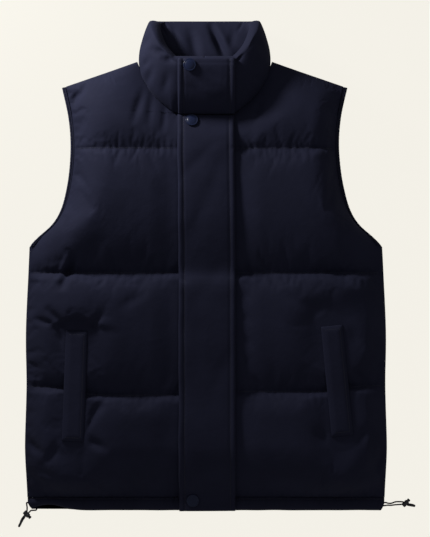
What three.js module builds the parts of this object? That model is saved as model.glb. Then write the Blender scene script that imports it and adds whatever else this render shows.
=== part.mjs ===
// A padded, quilted puffer vest laid flat on its back, front up, with its collar standing open.
// Millimetres. +Z is up from the surface it lies on, +Y runs from the hem to the collar, and +X is the
// viewer's right (the wearer's left). The origin is on the surface, at the middle of the garment.
import * as THREE from "three";

// Driving dimensions of the garment
const HEM_HALF_WIDTH = 286; // half of the width across the hem
const HEM_BAND = 22; // height of the hem casing
const BODY_LENGTH = 717; // hem to the side of the neck
const TOTAL_LENGTH = 783.6; // hem to the top of the collar
const CENTRE_Y = TOTAL_LENGTH / 2; // moves the middle of the garment to the origin
const GAP = 0.3; // between pieces that meet at a seam
const SEAM_Y = { hem: HEM_BAND, waist: 192, chest: 381, yoke: 578 }; // quilting seams, from the hem

// Heights above the surface
const LINING_Z = 36; // where the front lies on the back, away from the hem
const HEM_LINING_Z = 17; // the same at the hem, where both sink to the surface
const HEM_SLOPE_END = 110; // how far up the front the lining takes to reach its full height
const SEAM_THICKNESS = 8; // least thickness of the front, and of the back at its seams
const BACK_PUFF = 42; // what a full channel of the back adds to that, before the surface flattens it
const EDGE_THICKNESS = 9; // at the armholes and shoulders
const NECK_THICKNESS = 11.5; // of the front and back where the collar is sewn on

// Front flap over the centre front, sewn at +X and snapped at -X
const FLAP = { left: -43, right: 47, thickness: 5, bottom: 1, fold: 632, zone: 48 };
// Share of the full padding under the flap, at the hem and at the neck, and what it gains beside the flap
const UNDER_FLAP = { from: 60, to: 500, hem: 0.32, neck: 0.58, beside: 0.05, edge: 8, reach: 190 };

// Puffed channels of the front: how far below its upper seam each is fullest, its thickness there, how far
// it falls to the upper and the lower seam, and over what length the lower seam pinches it
const CHANNELS = [
  { name: "hem", crest: 48, full: 43, fallUp: 7, fallDown: 3, pinch: 40 },
  { name: "waist", crest: 80, full: 44, fallUp: 10, fallDown: 22, pinch: 12 },
  { name: "chest", crest: 80, full: 47, fallUp: 7, fallDown: 25, pinch: 12 },
];
const UPPER_PINCH = 12;
const SEAM_BASE = [8, 19, 19]; // thickness of the front left at the casing, waist and chest seams
const YOKE = { full: 43, reach: 50, shoulder: 100, neck: 60, leftSeam: 38.5, rightSeam: 31 };
// How far in from its edge a front is still thinner: below the armhole, and along each armhole
const EDGE_REACH = { side: 72, leftArm: 62, rightArm: 42, from: 410, over: 60 };
// How far the waist seam strays up, at distances out from the centre
const WAIST_WANDER = [
  { x: 60, left: -5, right: 1 },
  { x: 150, left: -5, right: 1 },
  { x: 190, left: -3, right: 1 },
  { x: 225, left: 6, right: 8 },
  { x: 250, left: 9, right: 10 },
  { x: 290, left: 9, right: 10 },
];
const WANDER_REACH = 75;

// The flap's underside along the centre front: it bridges the seams and dips to the neck
const FLAP_LINE = [
  { y: 1, z: 30.9 },
  { y: 14, z: 31.1 },
  { y: 28, z: 32.6 },
  { y: 38, z: 37.4 },
  { y: 53, z: 44 },
  { y: 68, z: 50 },
  { y: 84, z: 54.8 },
  { y: 99, z: 57.7 },
  { y: 115, z: 58.8 },
  { y: 146, z: 59.5 },
  { y: 192, z: 59.5 },
  { y: 224, z: 60.3 },
  { y: 255, z: 62 },
  { y: 286, z: 63.7 },
  { y: 318, z: 64.7 },
  { y: 345, z: 64.5 },
  { y: 360, z: 63.2 },
  { y: 370, z: 60.6 },
  { y: 378, z: 57.8 },
  { y: 388, z: 57.6 },
  { y: 412, z: 62 },
  { y: 443, z: 66.6 },
  { y: 474, z: 69.2 },
  { y: 505, z: 70 },
  { y: 536, z: 69.4 },
  { y: 567, z: 67.4 },
  { y: 583, z: 65.5 },
  { y: 600, z: 62.6 },
  { y: 615, z: 57.8 },
  { y: 624, z: 54.4 },
  { y: 632, z: 50.8 },
];
// The collar part of the flap hangs a little over the body part
const FLAP_COLLAR_HEM = [
  { y: 633.2, z: 56.5 },
  { y: 635.4, z: 57.2 },
];

// Flap section across: raised topstitched edges with a groove inside each
const FLAP_ACROSS = [
  { x: 0, rise: 3.6 },
  { x: 2, rise: 5.4 },
  { x: 7, rise: 5.6 },
  { x: 9, rise: 4 },
  { x: 12, rise: 5 },
  { x: 45, rise: 5.6 },
  { x: 78, rise: 5 },
  { x: 81, rise: 4 },
  { x: 83, rise: 5.6 },
  { x: 90, rise: 5 },
];

// Outline of the body, from the side seam up the armhole to the shoulder tip
const SIDE = [
  { y: 0, x: 280 },
  { y: 8, x: 284 },
  { y: 22, x: HEM_HALF_WIDTH },
  { y: 107, x: 287.5 },
  { y: 192, x: 285 },
  { y: 286, x: 286 },
  { y: 381, x: 282 },
  { y: 424, x: 280 },
];
const ARMHOLE = [
  { y: 424, x: 280 },
  { y: 437, x: 267 },
  { y: 456, x: 246 },
  { y: 475, x: 233 },
  { y: 500, x: 224 },
  { y: 540, x: 216.5 },
  { y: 585, x: 213.5 },
  { y: 630, x: 217 },
  { y: 676, x: 227 },
];
const UNDERARM_Y = 424;
const SHOULDER_TIP_Y = 676;
const SHOULDER_NECK_X = 108; // where the shoulder meets the collar
const BINDING = { width: 5.7, height: 11 };
const BINDING_BLEND = 4; // over which the cloth edge draws in to make room for the binding
const LEAN = { from: 380, to: 640, shift: -2 }; // the upper body lies a little to one side

// Neckline of the back, from its middle to the shoulder
const BACK_NECK = [
  { x: 0, y: 694.4 },
  { x: 34, y: 696.2 },
  { x: 66, y: 703 },
  { x: 84, y: 706 },
  { x: 97, y: 703 },
  { x: 107, y: 711 },
];

// Hem casing, from the bottom edge up, swollen by the drawcord's tunnel
const CASING = [
  { y: 0, thick: 4 },
  { y: 2.5, thick: 9 },
  { y: 7, thick: 12.5 },
  { y: 13, thick: 13 },
  { y: 18, thick: 11 },
  { y: HEM_BAND - GAP, thick: 8 },
];
const BACK_CASING_SWELL = 1.32; // the back casing fills the height down to the surface
const GATHER = { x: -252, reach: 30, front: 9, back: 4 }; // where the drawcord draws the hem up

// Collar ring, a row for each place round it from the centre front to the centre back
const COLLAR = [
  { at: "centre front", bx: 0, by: 637, bz: 47, rx: 0, ry: 717, rz: 73, out: 21, inn: 7 },
  { at: "flap edge", bx: 48, by: 637, bz: 47, rx: 45, ry: 717, rz: 73, out: 21, inn: 7 },
  { at: "front quarter", bx: 74, by: 659, bz: 46, rx: 61, ry: 734, rz: 72, out: 21, inn: 8 },
  { at: "front side", bx: 92, by: 684, bz: 44, rx: 73, ry: 757, rz: 65, out: 18, inn: 9 },
  { at: "side", bx: 98, by: 706, bz: 39, rx: 79, ry: 774, rz: 49, out: 14, inn: 10 },
  { at: "back side", bx: 91, by: 712, bz: 32, rx: 78, ry: 778.4, rz: 29, out: 13, inn: 10 },
  { at: "back quarter", bx: 68, by: 706, bz: 29, rx: 62, ry: 778.4, rz: 17, out: 13, inn: 10 },
  { at: "back", bx: 34, by: 698, bz: 29, rx: 32, ry: 778.4, rz: 14, out: 14, inn: 11 },
  { at: "centre back", bx: 0, by: 696, bz: 29, rx: 0, ry: 778.4, rz: 14, out: 14, inn: 11 },
];
const COLLAR_SEAM_HALF = 6; // half thickness of the collar at its seam and rim

// Pocket welts, from their top to their bottom middle
const WELT = { width: 34.4, length: 174, thickness: 6 };
const WELT_BED = { thickness: 31, atSeam: 19, margin: 13, spread: 32, fill: 14 }; // the front under a welt
const WELTS = [
  { side: "left", top: [-203, 290], bottom: [-209.5, 116] },
  { side: "right", top: [198, 298], bottom: [215, 125] },
];

// Main folds of the front, each a soft trough from one end to the other
const FOLDS = [
  { name: "chest seam valley", x1: -170, y1: 426, x2: -196, y2: 388, depth: 6, width: 13 },
  { name: "chest seam fold", x1: -209, y1: 405, x2: -224, y2: 362, depth: 10, width: 6 },
  { name: "chest seam ridge", x1: -219, y1: 404, x2: -233, y2: 370, depth: -4, width: 5 },
  { name: "left pocket top, outer", x1: -246, y1: 322, x2: -221, y2: 297, depth: 5.5, width: 6 },
  { name: "left pocket top, side", x1: -264, y1: 307, x2: -238, y2: 300, depth: 4, width: 6 },
  { name: "left pocket top, inner", x1: -165, y1: 314, x2: -183, y2: 293, depth: 5.5, width: 6 },
  { name: "left pocket middle", x1: -160, y1: 182, x2: -188, y2: 152, depth: 6, width: 9 },
  { name: "left pocket foot, inner", x1: -187, y1: 119, x2: -160, y2: 106, depth: 5, width: 7 },
  { name: "left pocket foot, outer", x1: -228, y1: 114, x2: -254, y2: 80, depth: 5, width: 9 },
  { name: "left side", x1: -283, y1: 115, x2: -262, y2: 98, depth: 5, width: 8 },
  { name: "right chest seam", x1: 203, y1: 377, x2: 232, y2: 368, depth: 6, width: 8 },
  { name: "right above pocket", x1: 154, y1: 344, x2: 182, y2: 314, depth: 4, width: 14 },
  { name: "right pocket top, outer", x1: 216, y1: 298, x2: 243, y2: 268, depth: 3.5, width: 10 },
  { name: "right pocket middle", x1: 224, y1: 226, x2: 248, y2: 200, depth: 5, width: 9 },
  { name: "right pocket foot, inner", x1: 178, y1: 128, x2: 218, y2: 112, depth: 6, width: 9 },
  { name: "right pocket foot, outer", x1: 218, y1: 112, x2: 254, y2: 130, depth: 6, width: 9 },
  { name: "right side", x1: 287, y1: 108, x2: 272, y2: 72, depth: 5, width: 8 },
  { name: "left shoulder tip", x1: -222, y1: 640, x2: -196, y2: 668, depth: 6, width: 9 },
];

// Snap caps, by where the middle of each sits on the flap, and how far above the flap's own thickness
const SNAP = { radius: 10, height: 3.6, shank: 4, lift: 0.9 };
const SNAPS = [
  { name: "snap_cap_collar", x: -25, y: 705, seat: -0.4 },
  { name: "snap_cap_neck", x: -22, y: 621.6, seat: 0.1 },
  { name: "snap_cap_hem", x: -21, y: 18.4, seat: 0.4 },
];

// Elastic drawcord ends at the two hem corners
const CORD_RADIUS = 1.2;
const CORD_SIDES = 8;
const CORDS = [
  {
    name: "drawcord_left_a",
    points: [
      [-286.1, 12, 17], [-288.6, 11, 14.5], [-289.3, 7, 8], [-289.2, 2, 4.4], [-289.4, -2.6, 3.9],
    ],
  },
  {
    name: "drawcord_left_b",
    points: [
      [-272.6, 0.6, 14.4], [-274.4, -1.4, 11], [-278.4, -2.4, 6], [-283, -3.2, 4], [-285.7, -5.7, 3.8],
    ],
  },
  {
    name: "drawcord_left_tail",
    points: [[-293.4, -12, 3.8], [-295.3, -15, 3], [-297, -18.1, 2.1]],
    thick: 1.4,
  },
  {
    name: "drawcord_right_a",
    points: [
      [285.8, 11.6, 17], [289.8, 11.2, 13.5], [294, 9, 6],
      [300, 8.4, 1.8], [307, 10.6, 1.5], [317, 10.9, 3.7],
    ],
  },
  {
    name: "drawcord_right_b",
    points: [
      [284.4, 6.6, 17], [289.4, 6.4, 12], [293, 5.6, 4.6],
      [299, 5, 1.6], [306, 5.8, 1.5], [313, 6.6, 3.7],
    ],
  },
  {
    name: "drawcord_right_tail",
    points: [[327.6, 6.4, 3.7], [329.6, 6, 2.9], [332, 5.4, 2.1]],
    thick: 1.4,
  },
];
const LOCK = { radius: 3.7, length: 11, button: 2.6, travel: 4 };
const LOCKS = [
  { name: "cord_lock_left", x: -290.2, y: -8.8, turn: -135 },
  { name: "cord_lock_right", x: 321.9, y: 8.3, turn: -45 },
];
const END_RADIUS = 2;
const CORD_ENDS = [
  { name: "cord_end_left", from: [-297.4, -18.9, 2.2], to: [-303.2, -30.2, 2.1] },
  { name: "cord_end_right", from: [332.7, 5.2, 2.2], to: [338.4, 3.9, 2.1] },
];

// Where the grids have their rows and columns: close together at the seams, where padding turns fastest
const CHANNEL_ROWS = [0, 0.03, 0.1, 0.2, 0.34, 0.5, 0.66, 0.8, 0.9, 0.97];
const UNDERARM_ROWS = [UNDERARM_Y, UNDERARM_Y + 4, 433, 439, 464];
const TOP_ROWS = [0, 0.16, 0.34, 0.52, 0.7, 0.85, 0.95, 1]; // from the neck to the shoulder
const FRONT_COLUMNS = [
  0.06, 0.13, 0.2, 0.27, 0.34, 0.41, 0.48, 0.55, 0.62, 0.69, 0.76, 0.83, 0.89, 0.94, 0.975, 1,
];
const BACK_COLUMNS = [0, 0.15, 0.3, 0.38, 0.44, 0.485, 0.6, 0.71, 0.81, 0.89, 0.95, 0.985, 1];
const COLLAR_SHARES = [0, 0.04, 0.14, 0.3, 0.5, 0.7, 0.88, 1];
const COLLAR_INNER = [1, 0.66, 0.33, 0];

// Colours and finish, one material for each kind of cloth or fitting
const cloth = (name, color) => new THREE.MeshStandardMaterial({ name, color, roughness: 0.6, metalness: 0 });
const SHELL = cloth("shell", 0x1c1e2e);
const TRIM = cloth("trim", 0x181a28);
const SNAP_PAINT = new THREE.MeshStandardMaterial({ name: "snap", color: 0x24315c, roughness: 0.35 });
const CORD_BLACK = cloth("cord", 0x101116);
const PLASTIC = new THREE.MeshStandardMaterial({ name: "plastic", color: 0x0d0e12, roughness: 0.45 });

const clamp01 = (t) => Math.min(Math.max(t, 0), 1);
const mix = (a, b, t) => a + (b - a) * t;
const smooth = (t) => clamp01(t) ** 2 * (3 - 2 * clamp01(t));

// Height of padding, from 0 at a seam to 1 at the distance reach from it
const rise = (distance, reach) => (1 - (1 - clamp01(distance / reach)) ** 2) ** 0.85;

// A smooth curve through the rows of an outline table, as a function from y to x
function outline(rows) {
  const curve = new THREE.SplineCurve(rows.map((r) => new THREE.Vector2(r.x, r.y)));
  const line = curve.getPoints(rows.length * 12);
  return (y) => {
    const after = line.findIndex((p) => p.y >= y);
    if (after < 1) return after === 0 ? line[0].x : line[line.length - 1].x;
    const a = line[after - 1];
    const b = line[after];
    return mix(a.x, b.x, (y - a.y) / Math.max(b.y - a.y, 1e-9));
  };
}
const sideX = outline(SIDE);
const armholeX = outline(ARMHOLE);

// Half width of the body cloth at a height, without the binding
function bodyX(y) {
  if (y <= UNDERARM_Y) return sideX(y);
  const room = (BINDING.width + GAP) * clamp01((y - UNDERARM_Y) / BINDING_BLEND);
  return armholeX(y) - room;
}

// Height of the lining, which depends on the distance from the hem alone
const liningZ = (y) => mix(HEM_LINING_Z, LINING_Z, smooth((y - HEM_BAND) / (HEM_SLOPE_END - HEM_BAND)));

const NECK_Y = COLLAR[0].by - COLLAR_SEAM_HALF / 3 - 5 * GAP;
function bodyRows() {
  const ends = [SEAM_Y.hem, SEAM_Y.waist, SEAM_Y.chest, SEAM_Y.yoke];
  const rows = [];
  for (let i = 0; i < 3; i++) CHANNEL_ROWS.forEach((t) => rows.push(mix(ends[i], ends[i + 1], t)));
  [0, 0.1, 0.3, 0.62].forEach((t) => rows.push(mix(SEAM_Y.yoke, NECK_Y, t)));
  rows.push(...UNDERARM_ROWS);
  return rows.sort((a, b) => a - b);
}
const ROWS_Y = bodyRows();

// How far the upper body lies to one side, as the garment was put down
const lean = (y) => LEAN.shift * smooth((y - LEAN.from) / (LEAN.to - LEAN.from));

// A closed solid from a list of triangles, moved so that the middle of the garment is the origin
function solid(name, triangles, material) {
  const points = triangles.flat().flatMap(([x, y, z]) => [x + lean(y), y - CENTRE_Y, z]);
  const geometry = new THREE.BufferGeometry();
  geometry.setAttribute("position", new THREE.Float32BufferAttribute(points, 3));
  geometry.computeVertexNormals();
  const mesh = new THREE.Mesh(geometry, material);
  mesh.name = name;
  return mesh;
}

// Triangles of a flat-on loop of points, turned to face up (+1) or down (-1)
function fill(loop, facing) {
  const flat = loop.map(([x, y]) => new THREE.Vector2(x, y));
  return THREE.ShapeUtils.triangulateShape(flat, []).map(([i, j, k]) => {
    const area = flat[j].clone().sub(flat[i]).cross(flat[k].clone().sub(flat[i]));
    return area * facing > 0 ? [loop[i], loop[j], loop[k]] : [loop[i], loop[k], loop[j]];
  });
}

// A padded panel: a grid of outer points over a plain lining that is flat from row flatFrom up.
// facing is +1 where the outer side faces up and -1 where it faces down.
function panel(outer, lining, flatFrom, facing) {
  const triangles = [];
  const quad = (a, b, c, d) => {
    if (facing > 0) triangles.push([a, b, c], [a, c, d]);
    else triangles.push([a, c, b], [a, d, c]);
  };
  const last = outer.length - 1;
  const end = outer[0].length - 1;
  for (let r = 0; r < last; r++)
    for (let c = 0; c < end; c++) quad(outer[r][c], outer[r][c + 1], outer[r + 1][c + 1], outer[r + 1][c]);
  for (let c = 0; c < end; c++) {
    quad(lining[0][c], lining[0][c + 1], outer[0][c + 1], outer[0][c]);
    quad(outer[last][c], outer[last][c + 1], lining[last][c + 1], lining[last][c]);
  }
  for (let r = 0; r < last; r++) {
    quad(lining[r][0], outer[r][0], outer[r + 1][0], lining[r + 1][0]);
    quad(outer[r][end], lining[r][end], lining[r + 1][end], outer[r + 1][end]);
  }
  const ends = (r) => [lining[r][0], lining[r][end]];
  for (let r = 0; r < flatFrom; r++) {
    const low = r === 0 ? lining[0] : ends(r);
    triangles.push(...fill([...low, ...ends(r + 1).reverse()], -facing));
  }
  const right = lining.slice(flatFrom + 1, last).map((row) => row[end]);
  const left = lining.slice(flatFrom + 1, last).map((row) => row[0]);
  const foot = flatFrom === 0 ? lining[0] : ends(flatFrom);
  const top = [...foot, ...right, ...[...lining[last]].reverse(), ...left.reverse()];
  triangles.push(...fill(top, -facing));
  return triangles;
}

// A solid lofted through closed loops of equally many points, its two ends filled as fans from a middle
function loft(loops) {
  const triangles = [];
  const count = loops[0].length;
  for (let s = 0; s + 1 < loops.length; s++)
    for (let i = 0; i < count; i++) {
      const j = (i + 1) % count;
      const [a, b, c, d] = [loops[s][i], loops[s][j], loops[s + 1][j], loops[s + 1][i]];
      triangles.push([a, b, c], [a, c, d]);
    }
  const cap = (loop, order) => {
    const middle = [0, 1, 2].map((k) => loop.reduce((sum, p) => sum + p[k], 0) / count);
    loop.forEach((p, i) => {
      const next = loop[(i + 1) % count];
      triangles.push(order > 0 ? [middle, p, next] : [middle, next, p]);
    });
  };
  cap(loops[0], -1);
  cap(loops[loops.length - 1], 1);
  return triangles;
}

// Distance from a point to a segment, and how far along the segment it lies
function toSegment(x, y, x1, y1, x2, y2) {
  const dx = x2 - x1;
  const dy = y2 - y1;
  const along = clamp01(((x - x1) * dx + (y - y1) * dy) / (dx * dx + dy * dy));
  return { distance: Math.hypot(x - x1 - dx * along, y - y1 - dy * along), along };
}

// How deep the main folds cut at a point of the front
function foldDepth(x, y) {
  return FOLDS.reduce((sum, f) => {
    const { distance, along } = toSegment(x, y, f.x1, f.y1, f.x2, f.y2);
    const taper = 0.45 + 0.55 * Math.sin(Math.PI * along);
    return sum + f.depth * taper * Math.exp(-((distance / f.width) ** 2));
  }, 0);
}

// Share of the padding left beside a pocket welt: 0 on its bed, 1 at a distance of spread from it
function besideWelt(x, y, spread) {
  return WELTS.reduce((least, w) => {
    const { distance } = toSegment(x, y, ...w.top, ...w.bottom);
    return Math.min(least, smooth((distance - WELT.width / 2 - WELT_BED.margin) / spread));
  }, 1);
}

const SEAMS = [SEAM_Y.hem, SEAM_Y.waist, SEAM_Y.chest, SEAM_Y.yoke];
const channelOf = (y) => Math.min(Math.max(SEAMS.filter((seam) => seam <= y + 1e-6).length - 1, 0), 2);

// Padding of the back's channels, alike above and below
function backChannel(y, reach) {
  const k = channelOf(y);
  return BACK_PUFF * rise(y - SEAMS[k], reach) * rise(SEAMS[k + 1] - y, reach);
}

// Thickness of the front's channels: each falls slowly to the seam below it, and fast to the one above
function frontChannel(y, bases) {
  const k = channelOf(y);
  const { crest, full, fallUp, fallDown, pinch } = CHANNELS[k];
  const top = SEAMS[k + 1] - crest;
  const up = clamp01((y - top) / crest);
  const down = clamp01((top - y) / (top - SEAMS[k]));
  const free = full - fallUp * up ** 2.4 - fallDown * down ** 2;
  const held = mix(bases[k], free, rise(y - SEAMS[k], pinch));
  return mix(bases[k + 1], held, rise(SEAMS[k + 1] - y, UPPER_PINCH));
}

const shoulderY = (x) => mix(BODY_LENGTH, SHOULDER_TIP_Y, (x - SHOULDER_NECK_X) / (227 - SHOULDER_NECK_X));
const SHOULDER_SLOPE = Math.cos(Math.atan2(BODY_LENGTH - SHOULDER_TIP_Y, 227 - SHOULDER_NECK_X));

// Points round the collar: the section of its wall at each station, as a loop of outer then inner points
function collarStations() {
  const pick = (row, kind) => new THREE.Vector3(row[kind + "x"], row[kind + "y"], row[kind + "z"]);
  const around = COLLAR.slice(1);
  const base = new THREE.CatmullRomCurve3(around.map((r) => pick(r, "b")));
  const rim = new THREE.CatmullRomCurve3(around.map((r) => pick(r, "r")));
  const steps = (around.length - 1) * 2;
  const half = [];
  for (const share of [0, 1 / 3, 2 / 3]) {
    const x = Math.max(share * FLAP.zone, GAP / 2);
    const b = pick(COLLAR[0], "b").setX(x);
    const r = pick(COLLAR[0], "r").setX(x);
    half.push({ b, r, out: COLLAR[0].out, inn: COLLAR[0].inn });
  }
  for (let i = 0; i <= steps; i++) {
    const t = i / steps;
    const row = Math.min(Math.floor(t * (around.length - 1)), around.length - 2);
    const part = t * (around.length - 1) - row;
    const out = mix(around[row].out, around[row + 1].out, part);
    const inn = mix(around[row].inn, around[row + 1].inn, part);
    half.push({ b: base.getPoint(t), r: rim.getPoint(t), out, inn });
  }
  return half;
}

// Outward direction of the collar wall at station i of a half ring
function collarOutward(half, i) {
  const flat = i < 4; // stations across the flap share one section
  const before = half[Math.max(i - 1, 0)];
  const after = half[Math.min(i + 1, half.length - 1)];
  const round = flat
    ? new THREE.Vector3(1, 0, 0)
    : after.b.clone().add(after.r).sub(before.b).sub(before.r);
  if (i === half.length - 1) round.set(-1, 0, 0);
  const up = half[i].r.clone().sub(half[i].b);
  return new THREE.Vector3().crossVectors(round, up).normalize();
}

const bulge = (v, fullness) => rise(v, 0.5) * rise(1 - v, 0.42) * fullness;
function collarLoop(half, i) {
  const { b, r, out, inn } = half[i];
  const outward = collarOutward(half, i);
  const up = r.clone().sub(b).normalize();
  const at = (v, q, extra) => {
    const p = b.clone().lerp(r, v).addScaledVector(outward, q).addScaledVector(up, extra);
    return [p.x, p.y, Math.max(p.z, 0)];
  };
  const seam = COLLAR_SEAM_HALF;
  const outer = COLLAR_SHARES.map((v) => at(v, seam + bulge(v, out - seam), 0));
  const crown = at(1, seam * 0.2, seam * 0.85);
  const inner = COLLAR_INNER.map((v) => at(v, -seam - bulge(v, inn - seam), 0));
  return [...outer, crown, ...inner];
}

// Neckline of the front in plan: the foot of the collar, a gap outside it, up to the shoulder
const HALF_RING = collarStations();
const SIDE_STATION = HALF_RING.findIndex((s) => s.b.y >= COLLAR[4].by - 1);
function frontNeckline() {
  return HALF_RING.slice(3, SIDE_STATION + 1).map((s, i) => {
    const outward = collarOutward(HALF_RING, i + 3);
    const foot = s.b.clone().addScaledVector(outward, COLLAR_SEAM_HALF);
    const away = new THREE.Vector2(foot.x, foot.y - BODY_LENGTH).normalize().multiplyScalar(3.5 * GAP);
    return [foot.x + away.x, foot.y + away.y];
  });
}

// Thickness of the front at a point, x measured out from the centre
function frontThickness(hand, x, y, edge, neck) {
  const yokeSeam = hand < 0 ? YOKE.leftSeam : YOKE.rightSeam;
  const shoulder = (shoulderY(x) - y) * SHOULDER_SLOPE;
  const yoke = mix(yokeSeam, YOKE.full, rise(y - SEAM_Y.yoke, YOKE.reach));
  const isYoke = y > SEAM_Y.yoke - 1e-6;
  const puffed = isYoke
    ? mix(EDGE_THICKNESS, yoke, rise(shoulder, YOKE.shoulder))
    : frontChannel(y, [...SEAM_BASE, yokeSeam]);
  const { from, to, hem, neck: atNeck, beside, edge: step, reach } = UNDER_FLAP;
  const under = mix(hem, atNeck, smooth((y - from) / (to - from)));
  const centre = under + beside * smooth((x - FLAP.zone + 12) / step);
  const share = mix(centre, 1, smooth((x - FLAP.zone) / reach));
  const eased = SEAM_THICKNESS + (puffed - SEAM_THICKNESS) * share;
  const necked = mix(NECK_THICKNESS, eased, Math.sin((Math.PI / 2) * clamp01((neck + 2) / YOKE.neck)));
  const atSide = Math.sin((Math.PI / 2) * clamp01(edge / EDGE_REACH.side));
  const atArm = rise(edge, hand < 0 ? EDGE_REACH.leftArm : EDGE_REACH.rightArm);
  const inward = mix(atSide, atArm, smooth((y - EDGE_REACH.from) / EDGE_REACH.over));
  return Math.max(mix(EDGE_THICKNESS, necked, inward), SEAM_THICKNESS);
}

// How far up a front's waist seam strays at a point
function waistWander(hand, x, y) {
  const key = hand < 0 ? "left" : "right";
  const after = WAIST_WANDER.findIndex((p) => p.x > x);
  if (after === 0) return WAIST_WANDER[0][key] * smooth(1 - Math.abs(y - SEAM_Y.waist) / WANDER_REACH);
  const [a, b] = [WAIST_WANDER[after - 1], WAIST_WANDER[after]];
  const stray = mix(a[key], b[key], (x - a.x) / (b.x - a.x));
  return stray * smooth(1 - Math.abs(y - SEAM_Y.waist) / WANDER_REACH);
}

// The left (-1) or right (+1) front
function frontGrid(hand) {
  const neckline = frontNeckline();
  const rows = ROWS_Y.map((y) => ({ a: [GAP / 2, y], b: [bodyX(y), y] }));
  const neckCurve = new THREE.CatmullRomCurve3([
    new THREE.Vector3(GAP / 2, NECK_Y, 0),
    new THREE.Vector3(FLAP.zone * 0.5, NECK_Y, 0),
    ...neckline.map(([x, y]) => new THREE.Vector3(x, y, 0)),
    new THREE.Vector3(SHOULDER_NECK_X, BODY_LENGTH, 0),
  ]);
  for (const t of TOP_ROWS) {
    const inner = neckCurve.getPointAt(t);
    const y = mix(NECK_Y, SHOULDER_TIP_Y, t);
    rows.push({ a: [inner.x, inner.y], b: [bodyX(y), y] });
  }
  const neckLine = neckCurve.getPoints(60);
  const outer = [];
  const lining = [];
  for (const { a, b } of rows) {
    const width = b[0] - a[0];
    const fixed = [0, 16, 32, FLAP.zone].map((d) => d / width);
    const shares = [...fixed, ...FRONT_COLUMNS.map((s) => mix(fixed[3], 1, s))];
    const upper = [];
    const lower = [];
    for (const s of shares) {
      const x = mix(a[0], b[0], s);
      const y = mix(a[1], b[1], s);
      const neck = neckLine.reduce((least, p) => Math.min(least, Math.hypot(p.x - x, p.y - y)), Infinity);
      const edge = (1 - s) * width;
      const full = frontThickness(hand, x, y, edge, neck);
      const away = besideWelt(hand * x, y, WELT_BED.fill);
      const pressed = mix(Math.min(full, WELT_BED.thickness), full, besideWelt(hand * x, y, WELT_BED.spread));
      const bedded = mix(Math.max(pressed, WELT_BED.atSeam), pressed, away);
      const foldShare = smooth(edge / 14) * smooth((x - FLAP.zone) / 12) * away;
      const thick = Math.max(bedded - foldDepth(hand * x, y) * foldShare, SEAM_THICKNESS - 1);
      const strayed = y + waistWander(hand, x, y);
      upper.push([hand * x, strayed, liningZ(y) + GAP + thick]);
      lower.push([hand * x, strayed, liningZ(y) + GAP]);
    }
    outer.push(hand > 0 ? upper : upper.reverse());
    lining.push(hand > 0 ? lower : lower.reverse());
  }
  return { outer, lining };
}
const FLAT_ROW = ROWS_Y.findIndex((y) => y >= HEM_SLOPE_END);

function makeFront(name, hand) {
  const { outer, lining } = frontGrid(hand);
  return solid(name, panel(outer, lining, FLAT_ROW, 1), SHELL);
}

// The back, whose outer side lies on the surface and is flat there
function backTopY(x) {
  const after = BACK_NECK.findIndex((p) => p.x > x);
  if (after < 0) return shoulderY(x);
  const a = BACK_NECK[after - 1];
  const b = BACK_NECK[after];
  return mix(a.y, b.y, (x - a.x) / (b.x - a.x));
}
function makeBack(name) {
  const outer = [];
  const lining = [];
  const columns = [...BACK_COLUMNS.slice(1).reverse().map((c) => -c), ...BACK_COLUMNS];
  const rows = ROWS_Y.map((y) => ({ y, top: 0 }));
  rows.push(...TOP_ROWS.map((t) => ({ y: mix(NECK_Y, SHOULDER_TIP_Y, t), top: t })));
  for (const row of rows) {
    const half = bodyX(row.y);
    const upper = [];
    const lower = [];
    for (const c of columns) {
      const x = c * half;
      const topHere = backTopY(Math.abs(c) * 221);
      const y = row.top ? mix(NECK_Y, topHere, row.top) : row.y;
      const edge = half * (1 - Math.abs(c));
      const along =
        y > SEAM_Y.yoke - 1e-6
          ? BACK_PUFF * rise(y - SEAM_Y.yoke, 50) * rise(topHere - y, 55)
          : backChannel(y, 50);
      const thick = EDGE_THICKNESS + along * rise(edge, 58);
      upper.push([x, y, Math.max(liningZ(y) - thick, 0)]);
      lower.push([x, y, liningZ(y)]);
    }
    outer.push(upper);
    lining.push(lower);
  }
  return solid(name, panel(outer, lining, FLAT_ROW, -1), SHELL);
}

// Hem casing of a stretch of the hem; facing as in panel
function makeCasing(name, fromX, toX, facing, steps) {
  const base = HEM_LINING_Z + (facing > 0 ? GAP : 0);
  const outer = [];
  const lining = [];
  for (const row of CASING) {
    const upper = [];
    const lower = [];
    for (let i = 0; i <= steps; i++) {
      const u = i / steps;
      const limit = sideX(row.y);
      const x = Math.min(Math.max(mix(fromX, toX, u), -limit), limit);
      const drawn = (facing > 0 ? GATHER.front : GATHER.back) * (1 - row.y / HEM_BAND);
      const lifted = drawn * Math.exp(-(((x - GATHER.x) / GATHER.reach) ** 2));
      const corner = rise(limit - Math.abs(x) + 3, 16);
      const thick = mix(5, row.thick * (facing > 0 ? 1 : BACK_CASING_SWELL), corner);
      upper.push([x, row.y + lifted, Math.max(base + facing * thick, 0)]);
      lower.push([x, row.y + lifted, base]);
    }
    outer.push(upper);
    lining.push(lower);
  }
  return solid(name, panel(outer, lining, 0, facing), TRIM);
}

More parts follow.
